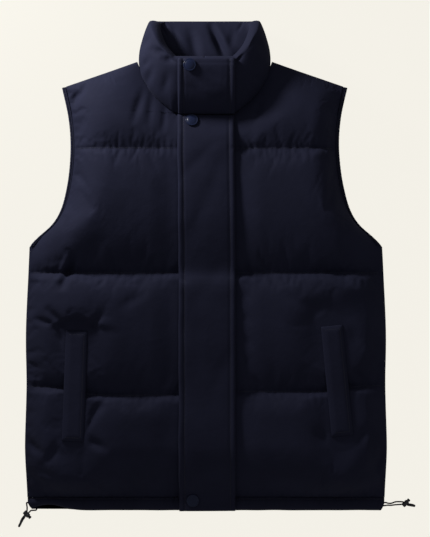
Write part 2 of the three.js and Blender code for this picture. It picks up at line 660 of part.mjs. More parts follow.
// Bound edge of an armhole, on the front (+1) or the back (-1), along the edge points of the body's rows
const TOP_Y = TOP_ROWS.map((t) => mix(NECK_Y, SHOULDER_TIP_Y, t));
function makeBinding(name, hand, facing) {
  const ys = [...ROWS_Y.filter((y) => y > UNDERARM_Y + BINDING_BLEND - 1), ...TOP_Y];
  const { width, height } = BINDING;
  const section = [
    [0, 0], [0.8, 0], [1, 0.3], [1, 0.7], [0.7, 1], [0, 1],
  ].map(([d, h]) => [GAP + d * (width - 0.1), h * height]);
  const points = ys.map((y) => new THREE.Vector2(bodyX(y), y));
  const loops = points.map((p, i) => {
    const along = points[Math.min(i + 1, ys.length - 1)].clone().sub(points[Math.max(i - 1, 0)]).normalize();
    const loop = section.map(([d, h]) => {
      const z = facing > 0 ? LINING_Z + GAP + h : LINING_Z - h;
      return [hand * (p.x + along.y * d), p.y - along.x * d, z];
    });
    return hand * facing < 0 ? loop : loop.reverse();
  });
  return solid(name, loft(loops), TRIM);
}

// Height of the flap's underside
const flapCurve = outline(FLAP_LINE.map(({ y, z }) => ({ y, x: z })));
const flapUnder = (y) => flapCurve(y);

// A flap laid along a line of (y, z) points with its normals, as a loft of sections across it
function flapSolid(name, line) {
  const loops = line.map(({ y, z, ny, nz }) => {
    const above = FLAP_ACROSS.map((c) => [FLAP.left + c.x, y + ny * c.rise, z + nz * c.rise]);
    return [[FLAP.left, y, z], [FLAP.right, y, z], ...above.reverse()];
  });
  return solid(name, loft(loops.map((l) => l.reverse())), SHELL);
}

function makeBodyFlap(name) {
  const ys = [FLAP.bottom, 8, 15, ...ROWS_Y.filter((y) => y < FLAP.fold - 4), FLAP.fold];
  return flapSolid(name, ys.map((y) => ({ y, z: flapUnder(y), ny: 0, nz: 1 })));
}

function makeCollarFlap(name) {
  const outward = collarOutward(HALF_RING, 0);
  const loop = collarLoop(HALF_RING, 0).slice(0, COLLAR_SHARES.length);
  const line = loop.slice(1).map(([, y, z]) => ({ y: y + outward.y * GAP * 2, z: z + outward.z * GAP * 2 }));
  const whole = [...FLAP_COLLAR_HEM, ...line];
  return flapSolid(name, whole.map((p) => ({ ...p, ny: outward.y, nz: outward.z })));
}

function makeCollar(name) {
  const loops = [];
  for (let i = 0; i < HALF_RING.length; i++) loops.push(collarLoop(HALF_RING, i));
  const mirrored = loops.slice(0, -1).map((loop) => loop.map(([x, y, z]) => [-x, y, z]));
  const ring = [...mirrored, loops[loops.length - 1], ...loops.slice(0, -1).reverse()];
  return solid(name, loft(ring), SHELL);
}

// A pocket welt: a flat padded strip over the pocket mouth
function makeWelt(name, welt) {
  const down = new THREE.Vector2(welt.bottom[0] - welt.top[0], welt.bottom[1] - welt.top[1]).normalize();
  const across = new THREE.Vector2(-down.y, down.x);
  const steps = [0, 0.015, 0.1, 0.25, 0.4, 0.55, 0.7, 0.85, 0.985, 1];
  const { width, length, thickness } = WELT;
  const section = [
    [-0.5, 0], [0.5, 0], [0.5, 0.62], [0.44, 0.95], [0.15, 1], [-0.15, 1], [-0.44, 0.95], [-0.5, 0.62],
  ];
  const z = LINING_Z + GAP + WELT_BED.thickness + GAP;
  const loops = steps.map((t) => {
    const x = welt.top[0] + down.x * t * length;
    const y = welt.top[1] + down.y * t * length;
    const full = t === 0 || t === 1 ? 0.7 : 1;
    return section.map(([s, h]) => {
      return [x + across.x * s * width, y + across.y * s * width, z + h * thickness * full];
    });
  });
  return solid(name, loft(loops), SHELL);
}

// A snap cap: a low dome with a rolled rim, on a short shank
function makeSnap(name, x, y, seat) {
  const { radius, height, shank, lift } = SNAP;
  const profile = [
    [0, GAP], [shank, GAP], [shank, lift], [radius * 0.94, lift], [radius, lift + 1],
    [radius * 0.96, lift + 1.9], [radius * 0.84, lift + 2.1], [radius * 0.6, height * 0.95],
    [radius * 0.3, height + 0.2], [0, height + 0.3],
  ].map(([r, z]) => new THREE.Vector2(r, z));
  const geometry = new THREE.LatheGeometry(profile, 20).rotateX(Math.PI / 2);
  const mesh = new THREE.Mesh(geometry, SNAP_PAINT);
  const isCollar = y > FLAP.fold;
  const outward = collarOutward(HALF_RING, 0);
  const line = collarLoop(HALF_RING, 0).slice(0, COLLAR_SHARES.length);
  const after = line.findIndex(([, py]) => py > y);
  const share = isCollar ? (y - line[after - 1][1]) / (line[after][1] - line[after - 1][1]) : 0;
  const onCollar = isCollar ? mix(line[after - 1][2], line[after][2], share) + outward.z * 2 * GAP : 0;
  const under = isCollar ? onCollar : flapUnder(y);
  const slope = isCollar
    ? (line[after][2] - line[after - 1][2]) / (line[after][1] - line[after - 1][1])
    : (flapUnder(y + SNAP.radius) - flapUnder(y - SNAP.radius)) / (2 * SNAP.radius);
  mesh.position.set(x, y - CENTRE_Y, under + FLAP.thickness + seat);
  mesh.rotation.x = Math.atan(slope);
  mesh.name = name;
  return mesh;
}

// A tube along a cord's route; thick is its radius beside a plain strand's
function makeCord(name, points, thick = 1) {
  const path = new THREE.CatmullRomCurve3(points.map(([x, y, z]) => new THREE.Vector3(x, y - CENTRE_Y, z)));
  const section = new THREE.Shape();
  for (let i = 0; i < CORD_SIDES; i++) {
    const a = ((i + 0.5) / CORD_SIDES) * 2 * Math.PI;
    const p = [CORD_RADIUS * thick * Math.cos(a), CORD_RADIUS * thick * Math.sin(a)];
    if (i) section.lineTo(...p);
    else section.moveTo(...p);
  }
  const steps = Math.max(4, Math.round(path.getLength() / (2.5 * CORD_RADIUS)));
  const geometry = new THREE.ExtrudeGeometry(section, { steps, extrudePath: path, bevelEnabled: false });
  const mesh = new THREE.Mesh(geometry, CORD_BLACK);
  mesh.name = name;
  return mesh;
}

// A spring cord lock: a barrel lying on the surface with its push button at one end
function makeLock(name, x, y, turn) {
  const { radius, length, button, travel } = LOCK;
  const profile = [
    [0, 0], [radius * 0.7, 0], [radius, radius * 0.4], [radius, length - 1.5], [radius * 0.8, length],
    [button * 0.8, length], [button * 0.8, length + 1], [button, length + 1.4], [button, length + travel - 1],
    [button * 0.7, length + travel], [0, length + travel],
  ].map(([r, z]) => new THREE.Vector2(r, z - length / 2));
  const mesh = new THREE.Mesh(new THREE.LatheGeometry(profile, 14), PLASTIC);
  mesh.position.set(x, y - CENTRE_Y, radius + 0.05);
  mesh.rotation.z = THREE.MathUtils.degToRad(turn);
  mesh.name = name;
  return mesh;
}

// The moulded end that holds both strands of a drawcord
function makeCordEnd(name, from, to) {
  const a = new THREE.Vector3(...from);
  const along = new THREE.Vector3(...to).sub(a);
  const length = along.length();
  const profile = [[0, 0], [0.9, 0], [1, 0.12], [1, 0.75], [0.6, 1], [0, 1]];
  const points = profile.map(([r, z]) => new THREE.Vector2(r * END_RADIUS, z * length));
  const mesh = new THREE.Mesh(new THREE.LatheGeometry(points, 10), CORD_BLACK);
  mesh.quaternion.setFromUnitVectors(new THREE.Vector3(0, 1, 0), along.normalize());
  mesh.position.copy(a).setY(a.y - CENTRE_Y);
  mesh.name = name;
  return mesh;
}

const vest = new THREE.Group();
vest.add(makeBack("back_panel"));
vest.add(makeFront("front_left", -1));
vest.add(makeFront("front_right", 1));
vest.add(makeCollar("collar"));
vest.add(makeBodyFlap("flap_body"));
vest.add(makeCollarFlap("flap_collar"));
vest.add(makeCasing("hem_casing_left", -HEM_HALF_WIDTH, -GAP / 2, 1, 16));
vest.add(makeCasing("hem_casing_right", GAP / 2, HEM_HALF_WIDTH, 1, 16));
vest.add(makeCasing("hem_casing_back", -HEM_HALF_WIDTH, HEM_HALF_WIDTH, -1, 24));
for (const [side, hand] of [["left", -1], ["right", 1]]) {
  vest.add(makeBinding("armhole_binding_front_" + side, hand, 1));
  vest.add(makeBinding("armhole_binding_back_" + side, hand, -1));
}
for (const welt of WELTS) vest.add(makeWelt("pocket_welt_" + welt.side, welt));
for (const snap of SNAPS) vest.add(makeSnap(snap.name, snap.x, snap.y, snap.seat));
for (const cord of CORDS) vest.add(makeCord(cord.name, cord.points, cord.thick));
for (const lock of LOCKS) vest.add(makeLock(lock.name, lock.x, lock.y, lock.turn));
for (const end of CORD_ENDS) vest.add(makeCordEnd(end.name, end.from, end.to));

export default vest;
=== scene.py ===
# %% [markdown]
# # A quilted puffer vest, laid flat and seen from above
# The vest lies on its back on a pale floor, as a shop photographs it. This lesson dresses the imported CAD
# solids: each sewn piece gets its puffed shape, folds, stitches and cloth. All lengths below are in
# millimetres, measured up from the hem (y), out from the centre front (x) and up from the floor (z).

# %% Load the frame
import bmesh
import bpy
import numpy as np
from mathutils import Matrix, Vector


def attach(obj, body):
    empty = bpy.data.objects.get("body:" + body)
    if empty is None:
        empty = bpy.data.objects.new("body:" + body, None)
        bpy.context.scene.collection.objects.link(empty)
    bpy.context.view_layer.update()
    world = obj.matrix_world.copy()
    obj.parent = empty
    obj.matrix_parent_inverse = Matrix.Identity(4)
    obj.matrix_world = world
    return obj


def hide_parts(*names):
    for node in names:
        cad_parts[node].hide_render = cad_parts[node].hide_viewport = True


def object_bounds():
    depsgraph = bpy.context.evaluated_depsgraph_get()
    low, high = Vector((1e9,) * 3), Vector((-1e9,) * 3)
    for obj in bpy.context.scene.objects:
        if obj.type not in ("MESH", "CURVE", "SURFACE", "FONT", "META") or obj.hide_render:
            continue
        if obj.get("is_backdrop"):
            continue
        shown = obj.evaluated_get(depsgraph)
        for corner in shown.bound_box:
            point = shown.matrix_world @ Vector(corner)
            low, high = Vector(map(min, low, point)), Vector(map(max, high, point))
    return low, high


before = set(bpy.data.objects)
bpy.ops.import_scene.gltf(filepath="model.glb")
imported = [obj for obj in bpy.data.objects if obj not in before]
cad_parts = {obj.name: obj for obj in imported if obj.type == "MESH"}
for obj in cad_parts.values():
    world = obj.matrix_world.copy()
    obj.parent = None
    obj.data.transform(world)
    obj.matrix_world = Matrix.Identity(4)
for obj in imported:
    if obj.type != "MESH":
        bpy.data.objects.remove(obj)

cad_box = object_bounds()
print("CAD nodes:", len(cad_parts))

# %% [markdown]
# ## From garment millimetres to the frame
# The frame is in metres with its origin at the middle of the vest, and the vest was put down with its
# upper half leaning a little to one side. One function does both moves, so every piece agrees.

# %% Units and the lean
MM = 0.001
CENTRE_Y = 391.8
LEAN_FROM, LEAN_TO, LEAN_SHIFT = 380, 640, -2
GAP = 0.3  # between any two sewn pieces
HANDS = {"left": -1, "right": 1}


def ease(t):
    """0 to 1 with soft ends."""
    t = np.clip(t, 0, 1)
    return t * t * (3 - 2 * t)


def lean(y):
    """How far to the side the vest leans at a height."""
    return LEAN_SHIFT * ease((y - LEAN_FROM) / (LEAN_TO - LEAN_FROM))


def placed(points):
    """Garment millimetres to frame metres."""
    p = np.array(points, float)
    p[..., 0] += lean(p[..., 1])
    p[..., 1] -= CENTRE_Y
    return p * MM

# %% [markdown]
# ## The camera
# The photograph looks straight down from about two and a half metres. The frame's tall side is 537 pixels
# of 1.6 mm, and a long lens keeps the perspective mild. It is made first.

# %% Camera straight above
PIXEL_MM = 1.6
FRAME_TALL = 537
VIEW_DISTANCE = 2.4
VIEW_CENTRE = Vector((0.0144, -0.0038, 0.028))

scene = bpy.context.scene
lens_view = bpy.data.cameras.new("camera")
lens_view.sensor_width = 36
lens_view.lens = 36 * VIEW_DISTANCE / (FRAME_TALL * PIXEL_MM * MM)
camera = bpy.data.objects.new("camera", lens_view)
camera.location = VIEW_CENTRE + Vector((0, 0, VIEW_DISTANCE))
scene.collection.objects.link(camera)
scene.camera = camera
print("lens", round(lens_view.lens, 1), "mm")

# %% [markdown]
# ## Meshes from grids
# Cloth pieces are cut flat, so a grid of rows and columns describes each one well: the outer side is the
# grid, the lining is plain, and a narrow wall joins them. The result is one closed mesh, as a sewn and
# filled piece is.

# %% Grid to closed mesh
def make_object(name, points, faces, material, smooth_angle=None):
    """A mesh object from frame-metre points."""
    mesh = bpy.data.meshes.new(name)
    mesh.from_pydata(points.tolist(), [], faces)
    shape = bmesh.new()
    shape.from_mesh(mesh)
    if shape.calc_volume(signed=True) < 0:
        bmesh.ops.reverse_faces(shape, faces=shape.faces)
        shape.to_mesh(mesh)
    shape.free()
    mesh.shade_smooth()
    if smooth_angle:
        mesh.set_sharp_from_angle(angle=smooth_angle)
    mesh.materials.append(material)
    piece = bpy.data.objects.new(name, mesh)
    scene.collection.objects.link(piece)
    return piece


def closed_panel(outer, lining, up=True):
    """Placed points and faces of a filled piece: a full outer grid over a lining kept only at its edges."""
    rows, cols = outer.shape[:2]
    top = np.arange(rows * cols).reshape(rows, cols)
    low = np.full((rows, cols), -1)
    edge = np.zeros((rows, cols), bool)
    edge[[0, -1], :] = True
    edge[:, [0, -1]] = True
    low[edge] = rows * cols + np.arange(edge.sum())
    corners = [
        (top[:-1, :-1], top[:-1, 1:], top[1:, 1:], top[1:, :-1]),
        (low[0, :-1], low[0, 1:], top[0, 1:], top[0, :-1]),
        (top[-1, :-1], top[-1, 1:], low[-1, 1:], low[-1, :-1]),
        (low[:-1, 0], top[:-1, 0], top[1:, 0], low[1:, 0]),
        (top[:-1, -1], low[:-1, -1], low[1:, -1], top[1:, -1]),
        (low[1:-2, 0], low[2:-1, 0], low[2:-1, -1], low[1:-2, -1]),
    ]
    faces = [f for four in corners for f in np.stack(four, -1).reshape(-1, 4).tolist()]
    faces.append([*low[1, [0, -1]].tolist(), *low[0, ::-1].tolist()])
    faces.append([*low[-2, [-1, 0]].tolist(), *low[-1].tolist()])
    points = placed(np.concatenate([outer.reshape(-1, 3), lining[edge]]))
    return points, faces if up else [f[::-1] for f in faces]


def lofted(loops):
    """Points and faces of a solid through closed loops, its ends filled."""
    count, around = loops.shape[:2]
    index = np.arange(count * around).reshape(count, around)
    after = np.roll(index, -1, axis=1)
    sides = np.stack([index[:-1], after[:-1], after[1:], index[1:]], -1).reshape(-1, 4)
    faces = sides.tolist() + [index[0, ::-1].tolist(), index[-1].tolist()]
    return loops.reshape(-1, 3), faces

# %% [markdown]
# ## Smooth curves through a short table
# A garment outline is best kept as a few named measurements. A curve through them gives the rest.

# %% Curves and profiles
def through(rows, count):
    """A smooth curve through every row of a table, as count even steps."""
    p = np.asarray(rows, float)
    t = np.linspace(0, len(p) - 1, count)
    i = np.minimum(t.astype(int), len(p) - 2)
    f = (t - i)[:, None]
    a, b, c, d = p[np.maximum(i - 1, 0)], p[i], p[i + 1], p[np.minimum(i + 2, len(p) - 1)]
    return 0.5 * (2 * b + (c - a) * f + (2 * a - 5 * b + 4 * c - d) * f**2 + (3 * b - a - 3 * c + d) * f**3)


def evenly(line, pitch=None, count=None):
    """Points along a line at an even pitch or of an even count."""
    line = np.asarray(line, float)
    reach = np.r_[0, np.cumsum(np.linalg.norm(np.diff(line, axis=0), axis=1))]
    count = count or max(2, int(reach[-1] / pitch) + 1)
    at = np.linspace(0, reach[-1], count)
    return np.stack([np.interp(at, reach, line[:, k]) for k in range(line.shape[1])], -1)


def rise(distance, reach):
    """Padding height from 0 at a seam to 1 at reach from it."""
    t = np.clip(distance / reach, 0, 1)
    return (1 - (1 - t) ** 2) ** 0.85


def mix(a, b, t):
    return a + (b - a) * t


def unit(vectors):
    return vectors / np.maximum(np.linalg.norm(vectors, axis=-1, keepdims=True), 1e-9)


def sideways_of(way):
    """Two directions square to each step of a route: level, and upwards."""
    level = unit(np.cross(way, (0, 0, 1)))
    return level, np.cross(level, way)

# %% [markdown]
# ## The body's outline and its channels
# Four cross seams, the hem casing's included, part the body into puffed channels. The side seam runs
# straight up to the underarm, and the armhole curves in from there to the shoulder tip.

# %% Outline tables (height from the hem, half width)
HEM_BAND, UNDERARM, SHOULDER_TIP, NECK_SIDE = 22, 424, 676, 717
SEAMS = [HEM_BAND, 192, 381, 578]
SIDE = [(0, 280), (8, 284), (22, 286), (107, 287.5), (192, 285), (286, 286), (381, 282), (424, 280)]
ARMHOLE = [
    (424, 280), (437, 267), (456, 246), (475, 233), (500, 224), (540, 216.5), (585, 213.5), (630, 217),
    (676, 227),
]
BINDING_WIDTH, BINDING_HEIGHT, BINDING_BLEND = 5.7, 11, 1.2
SHOULDER_NECK_X, SHOULDER_TIP_X = 108, 227
SEAM_INSET = 0.15  # each front ends this far from the centre line

side_line, armhole_line = through(SIDE, 96), through(ARMHOLE, 120)


def body_x(y, blend=BINDING_BLEND):
    """Half width of the body cloth at a height, inside any binding."""
    room = (BINDING_WIDTH + GAP) * np.clip((y - UNDERARM) / blend, 0, 1)
    side = np.interp(y, side_line[:, 0], side_line[:, 1])
    arm = np.interp(y, armhole_line[:, 0], armhole_line[:, 1])
    return np.where(y <= UNDERARM, side, arm - room)


def shoulder_y(x):
    return mix(NECK_SIDE, SHOULDER_TIP, (x - SHOULDER_NECK_X) / (SHOULDER_TIP_X - SHOULDER_NECK_X))


print("width at the chest", 2 * float(body_x(np.array(UNDERARM))), "mm")

# %% [markdown]
# ## Heights above the floor
# The front lies on the back, and both sink to the floor at the hem. A full channel is some 45 mm thick. The
# hem's seam squeezes the padding to 8 mm, the two cross seams to 19 mm, and the yoke's seams far less.

# %% Levels
LINING_Z, HEM_LINING_Z, HEM_SLOPE_END = 36, 17, 110
SEAM_THICK, EDGE_THICK, NECK_THICK = 8, 9, 11.5
BACK_PUFF, YOKE_TOP = 42, 43
# Channels of the front: crest below the upper seam, thickness there, fall to the upper lip, to the lower lip
CHANNELS = [(48, 43, 7, 3), (80, 44, 10, 22), (80, 47, 7, 25)]
SEAM_BASE = [8, 19, 19]  # thickness left at each cross seam
YOKE_SEAM = {-1: 38.5, 1: 31}  # at the yoke seam of each hand, of which the left one is faint
FLAP_LEFT, FLAP_RIGHT, FLAP_FOLD = -43, 47, 632


def lining_z(y):
    return mix(HEM_LINING_Z, LINING_Z, ease((y - HEM_BAND) / (HEM_SLOPE_END - HEM_BAND)))


def channel(y, puff, reach):
    """Padding of a channel from the distances to its two seams."""
    seams = np.array(SEAMS, float)
    k = np.clip(np.searchsorted(seams, y + 1e-6) - 1, 0, len(seams) - 1)
    below = y - seams[k]
    above = np.where(k < len(seams) - 1, seams[np.minimum(k + 1, len(seams) - 1)] - y, 1e3)
    return puff * rise(below, reach) * rise(above, reach)

# %% [markdown]
# ## Small helpers for materials
# Each helper adds one kind of shader node: a noise, a weave of crossed waves, a bump or a colour ramp. All of
# them are placed by object coordinates, because the meshes have no unwrapped maps.

# %% Material helpers
def new_material(name):
    material = bpy.data.materials.new(name)
    material.use_nodes = True
    tree = material.node_tree
    return material, tree, tree.nodes["Principled BSDF"]


def set_sockets(node, values):
    for socket, value in values.items():
        node.inputs[socket].default_value = value


def noise(tree, coords, scale, detail=3.0, roughness=0.5, distortion=0.0):
    node = tree.nodes.new("ShaderNodeTexNoise")
    set_sockets(node, {"Scale": scale, "Detail": detail, "Roughness": roughness, "Distortion": distortion})
    tree.links.new(coords, node.inputs["Vector"])
    return node.outputs["Fac"]


def weave(tree, coords, pitch_mm):
    """Crossed threads of one pitch, as a height from 0 to 1."""
    waves = []
    for direction in ("X", "Y"):
        wave = tree.nodes.new("ShaderNodeTexWave")
        wave.bands_direction = direction
        set_sockets(wave, {"Scale": 2 * np.pi / (20 * pitch_mm * MM), "Distortion": 0.4})
        tree.links.new(coords, wave.inputs["Vector"])
        waves.append(wave.outputs["Fac"])
    product = tree.nodes.new("ShaderNodeMath")
    product.operation = "MULTIPLY"
    for k in (0, 1):
        tree.links.new(waves[k], product.inputs[k])
    return product.outputs["Value"]


def bump(tree, height, depth_mm, strength, before=None):
    node = tree.nodes.new("ShaderNodeBump")
    set_sockets(node, {"Distance": depth_mm * MM, "Strength": strength})
    tree.links.new(height, node.inputs["Height"])
    if before is not None:
        tree.links.new(before, node.inputs["Normal"])
    return node.outputs["Normal"]


def ramp(tree, value, low, high, dark, light):
    node = tree.nodes.new("ShaderNodeValToRGB")
    for stop, position, color in zip(node.color_ramp.elements, (low, high), (dark, light)):
        stop.position, stop.color = position, (*color, 1)
    tree.links.new(value, node.inputs["Fac"])
    return node.outputs["Color"]

# %% [markdown]
# ## The two nylons
# The shell is a thin, soft nylon in a navy that is nearly black. It has a peached, matt face, so the light
# shows the puffs by slow fading and leaves no bright streaks. That wants a rough surface with very little
# shine and a breath of sheen. Two noises give faint crumples, and the weave is far finer than a pixel. The
# trim is the same cloth, slightly darker.

# %% Nylon
def nylon(name, dark, light, crumple=0.3, pitch_mm=0.45):
    material, tree, shader = new_material(name)
    coords = tree.nodes.new("ShaderNodeTexCoord").outputs["Object"]
    dye = noise(tree, coords, 14, detail=5, roughness=0.6)
    tree.links.new(ramp(tree, dye, 0.36, 0.64, dark, light), shader.inputs["Base Color"])
    normal = bump(tree, noise(tree, coords, 30, detail=4, roughness=0.5, distortion=0.4), 3, crumple)
    normal = bump(tree, noise(tree, coords, 150, detail=3, roughness=0.55), 0.5, crumple, normal)
    normal = bump(tree, weave(tree, coords, pitch_mm), 0.05, 0.3, normal)
    tree.links.new(normal, shader.inputs["Normal"])
    set_sockets(shader, {"Roughness": 0.82, "Specular IOR Level": 0.1, "Sheen Weight": 0.02,
                         "Sheen Roughness": 0.5, "Sheen Tint": (0.6, 0.65, 1.0, 1)})
    return material


shell = nylon("shell_nylon", (0.0100, 0.0112, 0.0262), (0.0120, 0.0134, 0.0310))
trim = nylon("trim_nylon", (0.0090, 0.0100, 0.0235), (0.0108, 0.0120, 0.0280), crumple=0.25)
print("materials:", shell.name, trim.name)

# %% [markdown]
# ## Thread, enamel, elastic and plastic
# The small parts each have their own finish: matt polyester thread, glossy blue-black enamel on the snap
# caps, a braided elastic cord, and moulded plastic for the cord locks.

# %% Small materials
def plain(name, color, roughness, grain_mm=0.4, grain=0.2, shine=0.5):
    material, tree, shader = new_material(name)
    coords = tree.nodes.new("ShaderNodeTexCoord").outputs["Object"]
    fine = noise(tree, coords, 1 / (grain_mm * MM * 4), detail=2)
    lighter = tuple(c * 1.25 for c in color)
    tree.links.new(ramp(tree, fine, 0.3, 0.7, color, lighter), shader.inputs["Base Color"])
    tree.links.new(bump(tree, fine, 0.1, grain), shader.inputs["Normal"])
    set_sockets(shader, {"Roughness": roughness, "Specular IOR Level": shine})
    return material


def braid(name, dark, light, pitch_mm):
    material, tree, shader = new_material(name)
    coords = tree.nodes.new("ShaderNodeTexCoord").outputs["Object"]
    turned = tree.nodes.new("ShaderNodeMapping")
    turned.inputs["Rotation"].default_value = (0.3, 0.2, 0.8)
    tree.links.new(coords, turned.inputs["Vector"])  # turned, so the strands cross the cord aslant
    strands = weave(tree, turned.outputs["Vector"], pitch_mm)
    tree.links.new(ramp(tree, strands, 0.1, 0.8, dark, light), shader.inputs["Base Color"])
    tree.links.new(bump(tree, strands, 0.25, 0.8), shader.inputs["Normal"])
    set_sockets(shader, {"Roughness": 0.7})
    return material


thread = plain("thread", (0.010, 0.011, 0.022), 0.6)
enamel = plain("snap_enamel", (0.0075, 0.0115, 0.034), 0.3, grain=0.02, shine=0.17)
elastic = braid("elastic_cord", (0.006, 0.006, 0.009), (0.02, 0.021, 0.028), 0.9)
moulded = plain("moulded_plastic", (0.009, 0.010, 0.014), 0.42, grain=0.15)
print("small materials: 4")

# %% [markdown]
# ## Giving a piece its place
# Each piece rides on the one body and hides the CAD nodes it stands for.
# Its name and size are printed as it is made.

# %% Register a piece
def register(piece, slot, *nodes):
    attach(piece, "root")
    if nodes:
        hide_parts(*nodes)
    print(piece.name, len(piece.data.polygons), "faces")
    return piece

# %% [markdown]
# ## Folds and puckers
# A fold is a soft trough along a short line. The large ones are read from the photograph, each with its own
# depth and width, so they stay uneven. Puckers are the small pleats where a seam takes up spare cloth; they
# are strewn along each seam from a seeded draw, so they never fall in a regular row.

# %% Trough helpers
rng = np.random.default_rng(7)


def to_segment(x, y, a, b):
    """Distance from points to a segment, and the share along it."""
    dx, dy = b[0] - a[0], b[1] - a[1]
    along = np.clip(((x - a[0]) * dx + (y - a[1]) * dy) / (dx * dx + dy * dy), 0, 1)
    return np.hypot(x - a[0] - dx * along, y - a[1] - dy * along), along


def trough(x, y, a, b, depth, width, tail=0.45):
    """Depth of one fold at the points; tail is its share of depth at the ends."""
    distance, along = to_segment(x, y, a, b)
    return depth * (tail + (1 - tail) * np.sin(np.pi * along)) * np.exp(-((distance / width) ** 2))


def troughs(x, y, table):
    return sum(trough(x, y, (x1, y1), (x2, y2), depth, width) for x1, y1, x2, y2, depth, width in table)


def puckers(x, y, seam_y, side, x_from, x_to, spacing=11, depth=1.6, length=(9, 30)):
    """Small pleats that leave a seam upwards (side 1) or downwards (side -1)."""
    total = np.zeros_like(x)
    at = x_from
    while at < x_to:
        at += spacing * rng.uniform(0.6, 1.5)
        reach = rng.uniform(*length)
        slant = rng.normal(0, 0.28) * reach
        size = depth * rng.uniform(0.4, 1.25)
        width = rng.uniform(2.3, 4.2)
        near = (np.abs(x - at) < 4 * width + abs(slant)) & (np.abs(y - seam_y) < reach + 4 * width)
        px, py = x[near], y[near]
        distance, along = to_segment(px, py, (at, seam_y + side * 2), (at + slant, seam_y + side * reach))
        total[near] += size * (1 - along) ** 0.7 * np.exp(-((distance / width) ** 2))
    return total

# %% [markdown]
# ## The folds of the fronts
# Each row gives the two ends of one fold, its depth and its width. A negative depth is a ridge. The large
# ones are in the CAD solids too, so the dressed vest and the solids agree.

# %% Fold tables (x1, y1, x2, y2, depth, width)
FOLDS = [
    (-170, 426, -196, 388, 6, 13), (-209, 405, -224, 362, 10, 6), (-219, 404, -233, 370, -4, 5),
    (-246, 322, -221, 297, 5.5, 6), (-264, 307, -238, 300, 4, 6), (-165, 314, -183, 293, 5.5, 6),
    (-160, 182, -188, 152, 6, 9), (-187, 119, -160, 106, 5, 7), (-228, 114, -254, 80, 5, 9),
    (-283, 115, -262, 98, 5, 8),
    (203, 377, 232, 368, 6, 8), (154, 344, 182, 314, 4, 14), (216, 298, 243, 268, 3.5, 10),
    (224, 226, 248, 200, 5, 9), (178, 128, 218, 112, 6, 9), (218, 112, 254, 130, 6, 9),
    (287, 108, 272, 72, 5, 8), (-222, 640, -196, 668, 6, 9),
]
SMALL_FOLDS = [
    (-238, 292, -222, 262, 3, 5), (-226, 280, -214, 255, 2, 4), (-176, 158, -190, 132, 3, 5),
    (-262, 70, -240, 60, 3, 6), (-98, 668, -112, 622, 3, 6), (-84, 662, -88, 618, 2.5, 6),
    (-62, 650, -66, 606, 2, 5), (-216, 590, -196, 566, 3, 6), (-214, 548, -196, 528, 2.5, 6),
    (204, 624, 216, 596, 4, 6), (200, 584, 214, 560, 3, 6), (206, 552, 216, 528, 2.5, 5),
    (60, 392, 72, 376, 2, 5), (58, 352, 70, 338, 2, 5), (56, 318, 69, 304, 2, 5), (60, 282, 72, 266, 2, 5),
    (58, 250, 66, 238, 2, 5), (262, 270, 281, 262, 3, 6), (268, 232, 284, 226, 2.5, 6),
    (-281, 232, -262, 226, 2.5, 6), (-283, 60, -262, 48, 3, 6), (90, 655, 78, 622, 2.5, 6),
    (262, 90, 284, 40, 4, 8), (150, 330, 120, 352, 2.5, 8), (-130, 330, -100, 348, 2, 8),
]
print("folds:", len(FOLDS), "large,", len(SMALL_FOLDS), "small")

# %% [markdown]
# ## Blowing the padding up
# Down fills a channel until the cloth is tight across it, and the seam's short stitches gather what is
# spare along it. Blender's Cloth does the same: the sewn points are pinned, the cloth is a few per cent
# too large, and a little pressure pushes it out. It runs on a coarser grid, and only its difference from
# the drawn shape is kept, capped, so the garment keeps its size.

# %% Cloth helper
SIM_FRAMES = 22


def puffed(grid, pins, pressure, slack, cap_mm):
    """The grid (frame metres) after a short cloth run, moved by at most the cap."""
    rows, cols = grid.shape[:2]
    index = np.arange(rows * cols).reshape(rows, cols)
    faces = np.stack([index[:-1, :-1], index[:-1, 1:], index[1:, 1:], index[1:, :-1]], -1).reshape(-1, 4)
    mesh = bpy.data.meshes.new("trial_cloth")
    mesh.from_pydata(grid.reshape(-1, 3).tolist(), [], faces.tolist())
    trial = bpy.data.objects.new("trial_cloth", mesh)
    scene.collection.objects.link(trial)
    group = trial.vertex_groups.new(name="sewn")
    for weight in np.unique(pins):
        if weight > 0:
            group.add(index[pins == weight].tolist(), float(weight), "REPLACE")
    modifier = trial.modifiers.new("puff", "CLOTH")
    cloth = modifier.settings
    cloth.vertex_group_mass = "sewn"
    cloth.quality = 5
    cloth.mass = 0.15
    cloth.tension_stiffness = cloth.compression_stiffness = 12
    cloth.shear_stiffness = 4
    cloth.bending_stiffness = 0.25
    cloth.air_damping = 2
    cloth.use_pressure = True
    cloth.uniform_pressure_force = pressure
    cloth.shrink_min = -slack
    cloth.effector_weights.gravity = 0
    modifier.point_cache.frame_end = SIM_FRAMES
    for step in range(1, SIM_FRAMES + 1):
        scene.frame_set(step)
    shown = trial.evaluated_get(bpy.context.evaluated_depsgraph_get())
    moved = np.empty(rows * cols * 3, np.float32)
    shown.data.vertices.foreach_get("co", moved)
    moved = moved.reshape(rows, cols, 3) - grid
    bpy.data.objects.remove(trial)
    bpy.data.meshes.remove(mesh)
    scene.frame_set(1)
    far = np.linalg.norm(moved, axis=-1, keepdims=True) / (cap_mm * MM)
    return moved / np.maximum(far, 1e-9) * np.tanh(far)


def resized(field, rows, cols):
    """A grid of vectors stretched smoothly to more rows and columns."""
    r = np.linspace(0, field.shape[0] - 1, rows)
    c = np.linspace(0, field.shape[1] - 1, cols)
    for axis, at in ((0, r), (1, c)):
        i = np.minimum(at.astype(int), field.shape[axis] - 2)
        f = ease(at - i) * 0.35 + (at - i) * 0.65
        low, high = np.take(field, i, axis), np.take(field, i + 1, axis)
        shape = [1, 1, 1]
        shape[axis] = -1
        field = low + (high - low) * f.reshape(shape)
    return field

